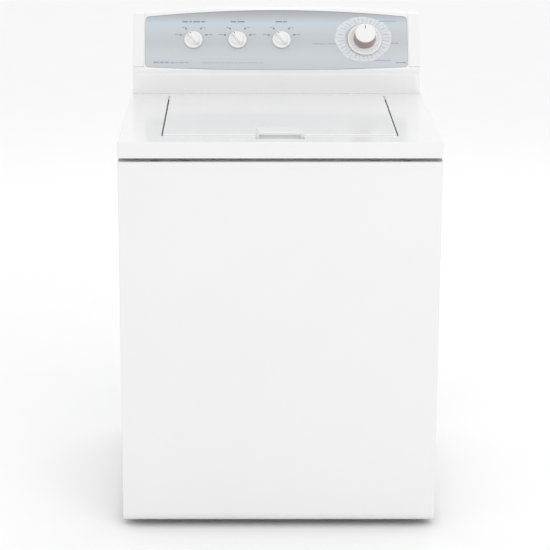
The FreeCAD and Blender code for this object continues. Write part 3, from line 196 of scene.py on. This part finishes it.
def panel_painted_reflections(name):
    """Console face: blue-grey, with painted reflections: painted highlight and shade bands up the face, darker and
    cooler towards its upper edge as painted shade.
    """
    material, nodes, links = new_material(name)
    shader = nodes["Principled BSDF"]
    low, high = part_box("control_panel")
    place = nodes.new("ShaderNodeTexCoord")
    split = nodes.new("ShaderNodeSeparateXYZ")
    links.new(place.outputs["Object"], split.inputs["Vector"])
    rise = nodes.new("ShaderNodeMapRange")
    rise.inputs["From Min"].default_value = low.z
    rise.inputs["From Max"].default_value = high.z
    links.new(split.outputs["Z"], rise.inputs["Value"])
    # Painted reflections: a painted light-blue highlight band, and painted shade along the top edge, stand for
    # light off the curved face.
    stops = ((0.0, (0.55, 0.59, 0.625)), (0.25, (0.58, 0.62, 0.65)), (0.5, (0.54, 0.555, 0.57)),
             (0.68, (0.56, 0.60, 0.64)), (0.8, (0.57, 0.62, 0.68)), (0.9, (0.47, 0.495, 0.53)),
             (1.0, (0.37, 0.39, 0.41)))
    tint = ramp(nodes, links, rise.outputs["Result"], stops)
    speckle = grain(nodes, links, 2500, 1.0)
    mix = nodes.new("ShaderNodeMix")
    mix.data_type = "RGBA"
    mix.blend_type = "MULTIPLY"
    mix.inputs["Factor"].default_value = 0.12
    links.new(tint.outputs["Color"], mix.inputs["A"])
    links.new(speckle.outputs["Color"], mix.inputs["B"])
    links.new(mix.outputs["Result"], shader.inputs["Base Color"])
    shader.inputs["Roughness"].default_value = 0.34
    relief = nodes.new("ShaderNodeBump")
    relief.inputs["Strength"].default_value = 0.04
    relief.inputs["Distance"].default_value = 0.0001
    links.new(speckle.outputs["Fac"], relief.inputs["Height"])
    links.new(relief.outputs["Normal"], shader.inputs["Normal"])
    return material


def make_materials():
    """One material for each of the record's slots, and two that only added pieces wear."""
    return {
        "enamel": surface("white_enamel", (0.78, 0.783, 0.78), 0.16, spread=0.008, colour_scale=3,
                          grain_scale=700, bump=0.06, bump_distance=0.00005, coat=0.25, rough_spread=0.03),
        "white_plastic": surface("white_plastic", (0.80, 0.803, 0.80), 0.3, spread=0.012, grain_scale=1500,
                                 bump=0.08, bump_distance=0.00006),
        "panel_face": panel_painted_reflections("panel_face_painted_reflections"),
        "galvanised": spangle("galvanised_sheet", (0.66, 0.68, 0.69)),
        "zinc_steel": surface("zinc_plated", (0.72, 0.72, 0.7), 0.28, 1.0, 0.06, 40, 600),
        "spring_steel": surface("spring_wire", (0.22, 0.22, 0.23), 0.38, 0.9, 0.1, 50, 900),
        "stainless": surface("brushed_stainless", (0.72, 0.73, 0.74), 0.26, 1.0, 0.03, 8, 300,
                             bump=0.12, stretch=(1, 1, 40), rough_spread=0.1),
        "machined_steel": surface("turned_steel", (0.62, 0.62, 0.63), 0.25, 1.0, 0.04, 20, 300,
                                  stretch=(1, 1, 30)),
        "cast_aluminium": surface("cast_aluminium", (0.62, 0.63, 0.64), 0.52, 0.85, 0.08, 30, 450, bump=0.5,
                                  bump_distance=0.0006, detail=6.0),
        "tub_plastic": surface("tub_plastic", (0.76, 0.77, 0.76), 0.5, 0.0, 0.03, 12, 700, bump=0.2),
        "agitator_plastic": surface("agitator_plastic", (0.82, 0.83, 0.84), 0.27, 0.0, 0.012, 10, 900,
                                    bump=0.05),
        "grey_plastic": surface("grey_plastic", (0.09, 0.095, 0.1), 0.5, 0.0, 0.1, 20, 900, bump=0.2),
        "valve_plastic": surface("nylon", (0.72, 0.71, 0.64), 0.4, 0.0, 0.05, 20, 900, bump=0.15),
        "motor_enamel": surface("motor_enamel", (0.02, 0.022, 0.024), 0.35, 0.0, 0.2, 20, 500, bump=0.3),
        "bronze": surface("sintered_bronze", (0.55, 0.38, 0.2), 0.45, 1.0, 0.1, 60, 900, bump=0.4),
        "black_rubber": surface("black_rubber", (0.018, 0.018, 0.019), 0.62, 0.0, 0.2, 30, 1200, bump=0.3),
        "grey_rubber": surface("grey_rubber", (0.42, 0.42, 0.41), 0.6, 0.0, 0.05, 30, 1200, bump=0.3),
        # Warm grey-brown painted shade for the timer cap's shaded side wall.
        "painted_shade_band": surface("warm_grey_painted_shade", (0.33, 0.265, 0.25), 0.38, 0.0, 0.05, 60, 900, bump=0.15),
        "faint_print": surface("faint_print", (0.5, 0.5, 0.5), 0.5, 0.0, 0.04, 60, 900),
        "loom_sleeve": surface("loom_tape", (0.03, 0.03, 0.033), 0.55, 0.0, 0.2, 40, 500, bump=0.5),
    }


def dress_cad(materials):
    """Gives each CAD node its slot's material."""
    slot_of = {s["node"]: s["material_slot"] for s in frame["record"]["subparts"]}
    for name, node in frame["nodes"].items():
        node.data.materials.clear()
        node.data.materials.append(materials[slot_of[name]])


# ---- Mesh helpers ----
def new_object(name, verts, faces, angle=35):
    """Mesh object from points in metres, smooth apart from edges sharper than angle."""
    mesh = bpy.data.meshes.new(name)
    mesh.from_pydata([tuple(v) for v in verts], [], faces)
    mesh.validate()
    body = bpy.data.objects.new(name, mesh)
    bpy.context.scene.collection.objects.link(body)
    tidy_normals(body)
    smooth(body, angle)
    return body


def tidy_normals(body):
    """Merges doubled points and turns every face outward."""
    bm = bmesh.new()
    bm.from_mesh(body.data)
    bmesh.ops.remove_doubles(bm, verts=bm.verts, dist=1e-6)
    bmesh.ops.recalc_face_normals(bm, faces=bm.faces)
    bm.to_mesh(body.data)
    bm.free()


def smooth(body, angle=35):
    body.data.shade_smooth()
    body.data.set_sharp_from_angle(angle=math.radians(angle))


def loft(name, loops, capped=True, angle=35):
    """Skin over closed loops that all have the same number of points."""
    verts = [v for loop in loops for v in loop]
    size = len(loops[0])
    faces = []
    for n in range(len(loops) - 1):
        a, b = n * size, (n + 1) * size
        for k in range(size):
            m = (k + 1) % size
            faces.append((a + k, a + m, b + m, b + k))
    if capped:
        faces.append(tuple(range(size)))
        faces.append(tuple(range((len(loops) - 1) * size, len(loops) * size)))
    return new_object(name, verts, faces, angle)


def spin(name, profile, segments=96, angle=35):
    """Closed solid of revolution about local Z from (radius, height) pairs in millimetres."""
    loops = []
    for r, h in profile:
        turn = [2 * math.pi * k / segments for k in range(segments)]
        loops.append([Vector((r * MM * math.cos(a), r * MM * math.sin(a), h * MM)) for a in turn])
    is_ring = profile[0] == profile[-1]
    return loft(name, loops, not is_ring, angle)


def rounded_profile(points, radius, steps=4):
    """Corners of an open outline replaced by short arcs; points are (radius, height) pairs."""
    out = [points[0]]
    for before, corner, after in zip(points, points[1:], points[2:]):
        a, b, c = (Vector((q[0], q[1])) for q in (before, corner, after))
        reach = min(radius, (a - b).length * 0.45, (c - b).length * 0.45)
        first = b + (a - b).normalized() * reach
        last = b + (c - b).normalized() * reach
        for k in range(steps + 1):
            t = k / steps
            q = first * (1 - t) ** 2 + b * 2 * t * (1 - t) + last * t ** 2
            out.append((q.x, q.y))
    out.append(points[-1])
    return out


def join(name, pieces):
    """Joins mesh objects into one, named name."""
    base = pieces[0]
    bm = bmesh.new()
    for piece in pieces:
        part = piece.data.copy()
        part.transform(piece.matrix_world)
        bm.from_mesh(part)
        bpy.data.meshes.remove(part)
    for piece in pieces[1:]:
        bpy.data.objects.remove(piece)
    bm.to_mesh(base.data)
    bm.free()
    base.matrix_world = Matrix.Identity(4)
    base.name = name
    return base


def place(body, matrix):
    body.data.transform(matrix)
    body.data.update()
    return body


def fit_out(body, material, rides_on, slot, *replaced):
    """Gives a finished piece its material and body and hides the CAD nodes that it stands for; slot is not used.
    """
    body.data.materials.clear()
    body.data.materials.append(material)
    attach(body, rides_on)
    if replaced:
        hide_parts(*replaced)
    return body


def knob_frame(point):
    """Matrix from a knob's own axes (right, up the face, out of the face) to the object's."""
    up = Vector((0, math.sin(FACE_TILT), math.cos(FACE_TILT)))
    turn = Matrix((Vector((1, 0, 0)), up, FACE_NORMAL)).transposed().to_4x4()
    return Matrix.Translation(point) @ turn


def on_face(x, v, out):
    """Point on the console's face: x across, v up along the arc from its middle, out above it, in metres."""
    a = FACE_TILT + v / FACE_R
    r = FACE_R + out
    return Vector((x, FACE_CENTRE.y - r * math.cos(a), FACE_CENTRE.z + r * math.sin(a)))


# ---- Knobs and dial ----
DIAL_TICKS = 36
FLUTES = 24                      # finger flutes round the timer's cap
FLUTE_DEPTH = 0.7                # in millimetres
CAP_SEGMENTS = 144
GRIP_POWER = 0.55                # below 1 squares off the finger bar's rounded plan


def timer_dial(materials):
    """Thin round skirt behind the timer's cap, with a raised rim and faint ticks round it."""
    outline = [(11.5, 1.7), (38.6, 1.7), (40, 2.6), (40, 4.6), (38.4, 5.9), (35.5, 5.4), (30, 4.8),
               (11.5, 4.8)]
    skirt = spin("timer_skirt", rounded_profile(outline, 0.8) + [(11.5, 1.7)], 128)
    sleeve = spin("timer_sleeve", [(7.2, 0.5), (11.4, 0.5), (11.4, 4.7), (7.2, 4.7), (7.2, 0.5)])
    pieces = [skirt, sleeve]
    for n in range(DIAL_TICKS):
        tall = n % 3 == 0
        inner, outer = (31.0, 35.2) if tall else (33.0, 35.2)
        tick = box_piece("tick", 0.45 if tall else 0.3, (outer - inner) / 2, 0.15)
        a = 2 * math.pi * n / DIAL_TICKS
        spot = Vector((0, (inner + outer) / 2 * MM, 5.35 * MM))
        place(tick, Matrix.Rotation(a, 4, "Z") @ Matrix.Translation(spot))
        pieces.append(tick)
    ticks = join("timer_dial_ticks", pieces[2:])
    place(ticks, knob_frame(TIMER))
    fit_out(ticks, materials["faint_print"], "timer_dial", "grey_plastic")
    dial = join("timer_dial_skirt", pieces[:2])
    place(dial, knob_frame(TIMER))
    fit_out(dial, materials["white_plastic"], "timer_dial", "white_plastic", "timer_dial")


def box_piece(name, half_x, half_y, half_z, soften=0.0):
    """Small block about the origin, in millimetres, with bevelled edges if soften is given."""
    signs = (-1, 1)
    verts = [Vector((x * half_x, y * half_y, z * half_z)) * MM for z in signs for y in signs for x in signs]
    faces = [(0, 2, 3, 1), (4, 5, 7, 6), (0, 1, 5, 4), (2, 6, 7, 3), (0, 4, 6, 2), (1, 3, 7, 5)]
    block = new_object(name, verts, faces)
    if soften:
        bm = bmesh.new()
        bm.from_mesh(block.data)
        bmesh.ops.bevel(bm, geom=bm.edges, offset=soften * MM, segments=3, profile=0.5, affect="EDGES")
        bm.to_mesh(block.data)
        bm.free()
        smooth(block, 40)
    return block


def fluted_loops(levels, depth):
    """Round loops with finger flutes that fade out towards both ends."""
    loops = []
    for height, radius in levels:
        fade = max(0.0, min(1.0, (height - 8.0) / 6) * min(1.0, (38.6 - height) / 5))
        ring = []
        for k in range(CAP_SEGMENTS):
            a = 2 * math.pi * k / CAP_SEGMENTS
            r = radius - depth * fade * (0.5 + 0.5 * math.cos(a * FLUTES))
            ring.append(Vector((r * MM * math.cos(a), r * MM * math.sin(a), height * MM)))
        loops.append(ring)
    return loops


def timer_cap(materials):
    """Deep cap with a dished white front and a warm grey band with shallow finger flutes; the band's warm grey is
    painted shade for the cap's shaded side.
    """
    outside = [(8.6, 26.5), (20, 25.4), (33, 24.2), (36.2, 23.8)]
    inside = [(height, radius - 2.2) for height, radius in reversed(outside)]
    loops = fluted_loops(outside, FLUTE_DEPTH) + fluted_loops(inside, 0.0)
    loops += fluted_loops(outside[:1], FLUTE_DEPTH)
    band = loft("timer_band", loops, False, 50)
    place(band, knob_frame(TIMER))
    # The cap's side band wears the warm grey painted shade.
    fit_out(band, materials["painted_shade_band"], "timer_knob", "grey_plastic")
    levels = [(7.5, 26.6), (8.5, 27.0), (8.6, 25.6), (20, 24.6), (33, 23.4), (36.4, 23.1), (36.5, 24.0),
              (38.4, 22.8), (39.4, 21.0), (39.5, 19.0)]
    loops = fluted_loops(levels, 0.0)
    for radius, height in ((15, 39.0), (8, 38.7), (2, 38.6)):
        turn = [2 * math.pi * k / CAP_SEGMENTS for k in range(CAP_SEGMENTS)]
        ring = [Vector((radius * MM * math.cos(a), radius * MM * math.sin(a), height * MM)) for a in turn]
        loops.append(ring)
    cap = loft("timer_cap", loops, angle=50)
    notch = box_piece("timer_pointer", 0.8, 4.2, 0.35, 0.3)
    place(notch, knob_frame(TIMER) @ Matrix.Translation((0, 15.4 * MM, 39.25 * MM)))
    fit_out(notch, materials["grey_plastic"], "timer_knob", "grey_plastic")
    collar = spin("timer_collar", [(3.2, 0.6), (7, 0.6), (7, 9), (3.2, 9), (3.2, 0.6)], 48)
    shaft = spin("timer_shaft", [(0.4, -34), (2.6, -34), (3, -33.4), (3, 8), (0.4, 8)], 32)
    place(shaft, knob_frame(TIMER))
    fit_out(shaft, materials["zinc_steel"], "timer_knob", "zinc_steel")
    cap = join("timer_knob_cap", [cap, collar])
    place(cap, knob_frame(TIMER))
    fit_out(cap, materials["white_plastic"], "timer_knob", "white_plastic", "timer_knob")


def selector_knob(name, materials):
    """Round skirt with a raised finger bar turned to its resting mark."""
    body = name + "_knob"
    frame_here = knob_frame(KNOBS[name]) @ Matrix.Rotation(math.radians(SELECTOR_TURN), 4, "Z")
    outline = [(3, 1.3), (21.2, 1.3), (21.9, 2.0), (21.2, 4.2), (18.5, 5.2), (15.5, 6.0), (14.2, 9.0),
               (12.6, 11.0), (3, 11.4)]
    skirt = spin(name + "_skirt", rounded_profile(outline, 1.2) + [(3, 1.3)], 96)
    loops = []
    levels = ((4, 19.3, 7.2), (8, 18.9, 6.4), (14, 18.0, 5.3), (18.5, 17.3, 4.7), (20.2, 16.6, 4.0),
              (20.9, 15.2, 2.9), (21.0, 12.0, 1.2))
    for height, half_l, half_w in levels:
        ring = []
        for k in range(48):
            a = 2 * math.pi * k / 48
            c, d = math.cos(a), math.sin(a)
            x = math.copysign(abs(c) ** GRIP_POWER, c) * half_w
            y = math.copysign(abs(d) ** GRIP_POWER, d) * half_l
            ring.append(Vector((x, y, height)) * MM)
        loops.append(ring)
    grip = loft(name + "_grip", loops, angle=55)
    mark = box_piece(name + "_pointer", 0.7, 3.4, 0.3, 0.25)
    place(mark, frame_here @ Matrix.Translation((0, 12.5 * MM, 21.0 * MM)))
    fit_out(mark, materials["grey_plastic"], body, "grey_plastic")
    stem = spin(name + "_stem", [(0.4, -26), (2.6, -26), (3, -25.4), (3, 6), (0.4, 6)], 32)
    place(stem, frame_here)
    fit_out(stem, materials["zinc_steel"], body, "zinc_steel")
    knob = join(name + "_handle", [skirt, grip])
    place(knob, frame_here)
    fit_out(knob, materials["white_plastic"], body, "white_plastic", body)


# ---- Agitator ----
AGITATOR_FOOT = 372.0            # height of the foot's lower edge, in millimetres
# Radius, crest height above the foot and thickness along a vane, from its root to its tip.
VANE_STATIONS = ((46, 228, 9.0), (58, 222, 8.6), (72, 184, 8.0), (88, 146, 7.4), (104, 114, 6.8),
                 (120, 86, 6.4), (136, 62, 6.0), (150, 42, 5.8), (160, 28, 5.6), (167, 18, 5.2),
                 (170.5, 11, 3.6))
VANE_FOOT = 7.0
VANE_SWEEP = 0.26                # radians by which a vane's tip trails its root


def vane(n):
    """One curved vane: sections across it from the post to the tip, each with a rounded crest."""
    loops = []
    root, tip = VANE_STATIONS[0][0], VANE_STATIONS[-1][0]
    for radius, crest, thick in VANE_STATIONS:
        share = (radius - root) / (tip - root)
        a = math.pi / 4 + n * math.pi / 2 + VANE_SWEEP * share ** 1.6
        out, side = Vector((math.cos(a), math.sin(a), 0)), Vector((-math.sin(a), math.cos(a), 0))
        foot, half = VANE_FOOT, thick / 2
        ring = [(-half - 2.2, foot), (-half - 0.6, foot + 3.0), (-half, min(foot + 9.0, crest * 0.8))]
        ring += [(half * math.cos(t), crest - half + half * math.sin(t)) for t in
                 (math.pi, math.pi * 0.8, math.pi * 0.6, math.pi * 0.4, math.pi * 0.2, 0.0)]
        ring += [(half, min(foot + 9.0, crest * 0.8)), (half + 0.6, foot + 3.0), (half + 2.2, foot)]
        loops.append([(out * radius + side * w + Vector((0, 0, h))) * MM for w, h in ring])
    return loft("vane", loops, True, 50)


def agitator(materials):
    """Post with a flared foot, four curved vanes that sweep out over it, and rings round the post."""
    outside = [(128, 0), (134, 4), (131, 10), (112, 22), (98, 33), (86, 52), (78, 72), (70, 118), (64, 178),
               (58, 246), (53, 262), (54.5, 266), (54.5, 272), (52, 276), (50, 306), (50, 318)]
    inside = [(45, 314), (47, 270), (58, 182), (72, 68), (94, 26), (120, 4)]
    post = spin("agitator_post", rounded_profile(outside, 8.0) + inside + [outside[0]], 128, 40)
    sleeve = spin("agitator_sleeve", [(8.1, 60), (16, 60), (16, 316), (8.1, 316), (8.1, 60)], 48)
    spider = spin("agitator_spider", [(15.5, 150), (57, 150), (57, 158), (15.5, 158), (15.5, 150)], 64)
    body = join("agitator_vanes", [post, sleeve, spider] + [vane(n) for n in range(4)])
    middle = JOINTS["agitator_swing"]["pos_m"]
    place(body, Matrix.Translation((middle[0], middle[1], AGITATOR_FOOT * MM)))
    fit_out(body, materials["agitator_plastic"], "agitator", "agitator_plastic", "agitator")


# ---- Springs and sump hose, which stretch between the cabinet and the tub ----
WIRE_R = 2.0
SPRING_TURNS = 7
SPRING_OUTER_R = 16.5
SUMP_HOSE_ROUTE = ((150, -165, 295.9), (150, -165, 222), (241, -229, 224), (241, -229, 142.1))
SUMP_HOSE_R = 11.6
SUMP_HOSE_BORE = 9.5
SUMP_HOSE_CUFF = 0.14            # share of the hose's length that is plain at each end


def coil(middle, low, high, mean_r):
    """Coil spring on a vertical axis with closed end turns, in millimetres."""
    loops = []
    steps = 24 * SPRING_TURNS
    for k in range(steps + 1):
        t = k / steps
        rise = t - 0.055 * math.sin(2 * math.pi * t)
        a = 2 * math.pi * SPRING_TURNS * t
        out = Vector((math.cos(a), math.sin(a), 0))
        spot = Vector((middle[0], middle[1], low + (high - low) * rise)) + out * mean_r
        turn = [2 * math.pi * n / 10 for n in range(10)]
        loops.append([(spot + (out * math.cos(b) + Vector((0, 0, math.sin(b)))) * WIRE_R) * MM for b in turn])
    return loft("coil", loops, True, 60)


def suspension_springs(materials):
    """Four coil springs between the hanging rods' feet and the tub's frame."""
    low, high = (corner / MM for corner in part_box("suspension_springs"))
    reach = SPRING_OUTER_R
    coils = []
    for x in (low.x + reach, high.x - reach):
        for y in (low.y + reach, high.y - reach):
            coils.append(coil((x, y), low.z + WIRE_R, high.z - WIRE_R, reach - WIRE_R))
    springs = join("suspension_coils", coils)
    springs.data.materials.append(materials["spring_steel"])
    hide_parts("suspension_springs")
    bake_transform(springs)


def sump_hose(materials):
    """Ribbed hose from the tub's sump down to the pump, with plain cuffs."""
    ends = [Vector(point) for point in SUMP_HOSE_ROUTE]
    outer, inner = [], []
    steps = 120
    for k in range(steps + 1):
        t = k / steps
        spot = (ends[0] * (1 - t) ** 3 + ends[1] * 3 * t * (1 - t) ** 2 + ends[2] * 3 * t * t * (1 - t)
                + ends[3] * t ** 3)
        ahead = ((ends[1] - ends[0]) * (1 - t) ** 2 + (ends[2] - ends[1]) * 2 * t * (1 - t)
                 + (ends[3] - ends[2]) * t * t).normalized()
        side = ahead.cross(Vector((0, 1, 0))).normalized()
        other = ahead.cross(side)
        ribbed = SUMP_HOSE_CUFF < t < 1 - SUMP_HOSE_CUFF
        rib = math.sin(2 * math.pi * (t - SUMP_HOSE_CUFF) / 0.048)
        radius = SUMP_HOSE_R + (0.8 * rib if ribbed else 0.3)
        for loops, r in ((outer, radius), (inner, SUMP_HOSE_BORE)):
            turn = [2 * math.pi * n / 32 for n in range(32)]
            loops.append([(spot + (side * math.cos(b) + other * math.sin(b)) * r) * MM for b in turn])
    hose = loft("sump_hose_ribbed", outer + inner[::-1] + outer[:1], False, 60)
    hose.data.materials.append(materials["black_rubber"])
    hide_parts("tub_to_pump_hose")
    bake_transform(hose)


# ---- Printing on the console's face ----
INK_LOW = 0.02                   # printed layers lie just above the face, in millimetres
INK = 0.08


def printed_patch(rows, centre, layer=0):
    """Thin closed layer of ink that follows the face; rows of (u, v) in millimetres about centre."""
    low = (INK_LOW + layer * INK) * MM
    high = low + INK * MM
    size = len(rows[0])
    count = len(rows) * size
    verts = []
    for out in (low, high):
        for row in rows:
            verts += [on_face((centre[0] + u) * MM, (centre[1] + v) * MM, out) for u, v in row]
    faces = []
    for n in range(len(rows) - 1):
        for k in range(size - 1):
            a = n * size + k
            faces.append((a, a + 1, a + size + 1, a + size))
            faces.append((a + count, a + count + size, a + count + size + 1, a + count + 1))
    rim = [k for k in range(size)] + [n * size + size - 1 for n in range(1, len(rows))]
    rim += [(len(rows) - 1) * size + k for k in range(size - 2, -1, -1)]
    rim += [n * size for n in range(len(rows) - 2, 0, -1)]
    for n, here in enumerate(rim):
        there = rim[(n + 1) % len(rim)]
        faces.append((here, there, there + count, here + count))
    return new_object("ink", verts, faces, 60)


def sector(inner, outer, start, end, squeeze=1.0, steps=6):
    """Ring sector between two angles in degrees, clockwise from straight up."""
    rows = []
    for k in range(steps + 1):
        a = math.radians(start + (end - start) * k / steps)
        row = [(r * math.sin(a), r * math.cos(a) * squeeze) for r in (inner, (inner + outer) / 2, outer)]
        rows.append(row)
    return rows


def bar(u0, u1, v0, v1):
    """Straight printed bar."""
    steps = max(1, int((u1 - u0) / 4))
    rows = []
    for k in range(steps + 1):
        u = u0 + (u1 - u0) * k / steps
        rows.append([(u, v0), (u, (v0 + v1) / 2), (u, v1)])
    return rows


def slanted(radius, degrees, half_l, half_w):
    """Short mark that points away from a knob's middle."""
    a = math.radians(degrees)
    out, side = (math.sin(a), math.cos(a)), (math.cos(a), -math.sin(a))
    rows = []
    for w in (-half_w, half_w):
        row = []
        for r in (radius - half_l, radius, radius + half_l):
            row.append((out[0] * r + side[0] * w, out[1] * r + side[1] * w))
        rows.append(row)
    return rows


def dashes(u0, u1, v, thick, words):
    """Row of short bars of varied length that stands for a line of small print."""
    pieces = []
    gap = 0.22
    total = sum(words) + gap * (len(words) - 1)
    scale = (u1 - u0) / total
    u = u0
    for word in words:
        pieces.append(bar(u, u + word * scale, v - thick / 2, v + thick / 2))
        u += (word + gap) * scale
    return pieces


def ink(name, patches, centre, material, layer=0):
    piece = join(name, [printed_patch(rows, centre, layer) for rows in patches])
    fit_out(piece, material, "cabinet", "panel_face")


RING_CENTRE = (TIMER.x / MM - 3.0, 6.0)
RING_SQUEEZE = 0.895             # the printed ring is a little wider than it is high
RING_INNER = 43.0
# Middle of each of the ring's sectors in degrees and its outer radius in millimetres.
PETALS = ((0, 66.5), (20, 65.0), (40, 67.5), (60, 66.0), (80, 67.5), (100, 66.5), (120, 67.0), (140, 65.5),
          (160, 67.0), (180, 66.5), (200, 66.5), (220, 67.5), (240, 65.5), (260, 67.5), (280, 66.0),
          (300, 67.5), (320, 66.0), (340, 67.0))


def console_print(inks):
    """Marks round the knobs, labels above them, the pale programme ring and its leader lines."""
    label_width = {"load_size": 54, "water_temperature": 33, "fabric_care": 27}
    label_words = {"load_size": (1.0, 0.5, 1.2, 0.7), "water_temperature": (1.0, 1.3),
                   "fabric_care": (1.3, 0.8)}
    for name, knob in KNOBS.items():
        centre = (knob.x / MM, 0)
        half = label_width[name] / 2
        marks = dashes(-half, half, 50.5, 3.4, label_words[name])
        for degrees in (-30, 30):
            marks.append(slanted(35.5, degrees, 2.8, 1.7))
        for degrees in (-66, 66):
            marks.append(slanted(33, degrees, 2.8, 1.7))
        marks += dashes(-27, -19, 33.5, 1.3, (0.7, 0.5)) + dashes(20, 28, 33.5, 1.3, (0.5, 0.8))
        marks += dashes(-44, -35, 14.5, 1.3, (1.0, 0.6)) + dashes(35, 44, 14.5, 1.3, (0.6, 1.0))
        ink(name + "_print", marks, centre, inks["dark"])
    petals = []
    for degrees, outer in PETALS:
        petals.append(sector(RING_INNER, outer, degrees - 9.3, degrees + 9.3, RING_SQUEEZE))
    ink("programme_ring", petals, RING_CENTRE, inks["pale"])
    numbers = []
    for degrees, outer in PETALS:
        for radius, share in ((47.5, 0.55), (53.0, 0.8), (58.5, 0.65)):
            a = math.radians(degrees)
            u, v = radius * math.sin(a), radius * math.cos(a) * RING_SQUEEZE
            half = 3.6 * share
            numbers.append(bar(u - half, u + half, v - 0.55, v + 0.55))
    ink("programme_print", numbers, RING_CENTRE, inks["dark_fine"], 1)
    x = TIMER.x / MM
    ink("leader_left", dashes(-123, -66, -10, 3.4, (1.4, 1.0)), (x, 0), inks["green"])
    ink("leader_upper_right", [bar(34, 76, 50.0, 53.6)], (x, 0), inks["blue"])
    ink("leader_lower_right", [bar(24, 62, -52.6, -49.6)], (x, 0), inks["violet"])
    right = dashes(62, 80, -8.4, 1.5, (0.8, 1.0)) + dashes(73, 97, -56.4, 1.8, (1.0, 0.7, 1.2))
    ink("leader_right", right, (x, 0), inks["dark"])
    tagline = dashes(-290, -254, -55.8, 4.0, (1.1, 0.9, 0.8))
    tagline += dashes(-250, -208, -56.4, 2.2, (1.0, 0.6, 1.2, 0.8))
    tagline += dashes(-177, -30, -57.0, 1.0, (2.0, 1.1, 0.8, 1.6, 0.5, 1.3, 2.2, 0.9))
    ink("tagline_print", tagline, (0, 0), inks["dark_fine"])


def make_inks():
    """Printing inks: each has a fine screen texture."""
    def one(name, colour):
        return surface(name, colour, 0.42, spread=0.06, colour_scale=300, grain_scale=2500, bump=0.05,
                       bump_distance=0.00002)
    return {
        "dark": one("ink_slate", (0.20, 0.225, 0.26)),
        "dark_fine": one("ink_grey", (0.33, 0.36, 0.395)),
        "pale": one("ink_pearl", (0.66, 0.69, 0.705)),
        "green": one("ink_sea_green", (0.36, 0.47, 0.43)),
        "blue": one("ink_steel_blue", (0.36, 0.42, 0.54)),
        "violet": one("ink_mauve", (0.45, 0.41, 0.52)),
    }


def add_floor():
    bpy.ops.mesh.primitive_plane_add(size=60)
    floor = bpy.context.object
    floor.name = "studio_floor"
    paper = surface("floor_paper", (0.93, 0.93, 0.93), 0.9, spread=0.004, grain_scale=200, bump=0.02)
    floor.data.materials.append(paper)


def main():
    materials = make_materials()
    dress_cad(materials)
    timer_dial(materials)
    timer_cap(materials)
    for name in KNOBS:
        selector_knob(name, materials)
    agitator(materials)
    suspension_springs(materials)
    sump_hose(materials)
    console_print(make_inks())
    add_floor()
    add_camera()
    add_light()


main()
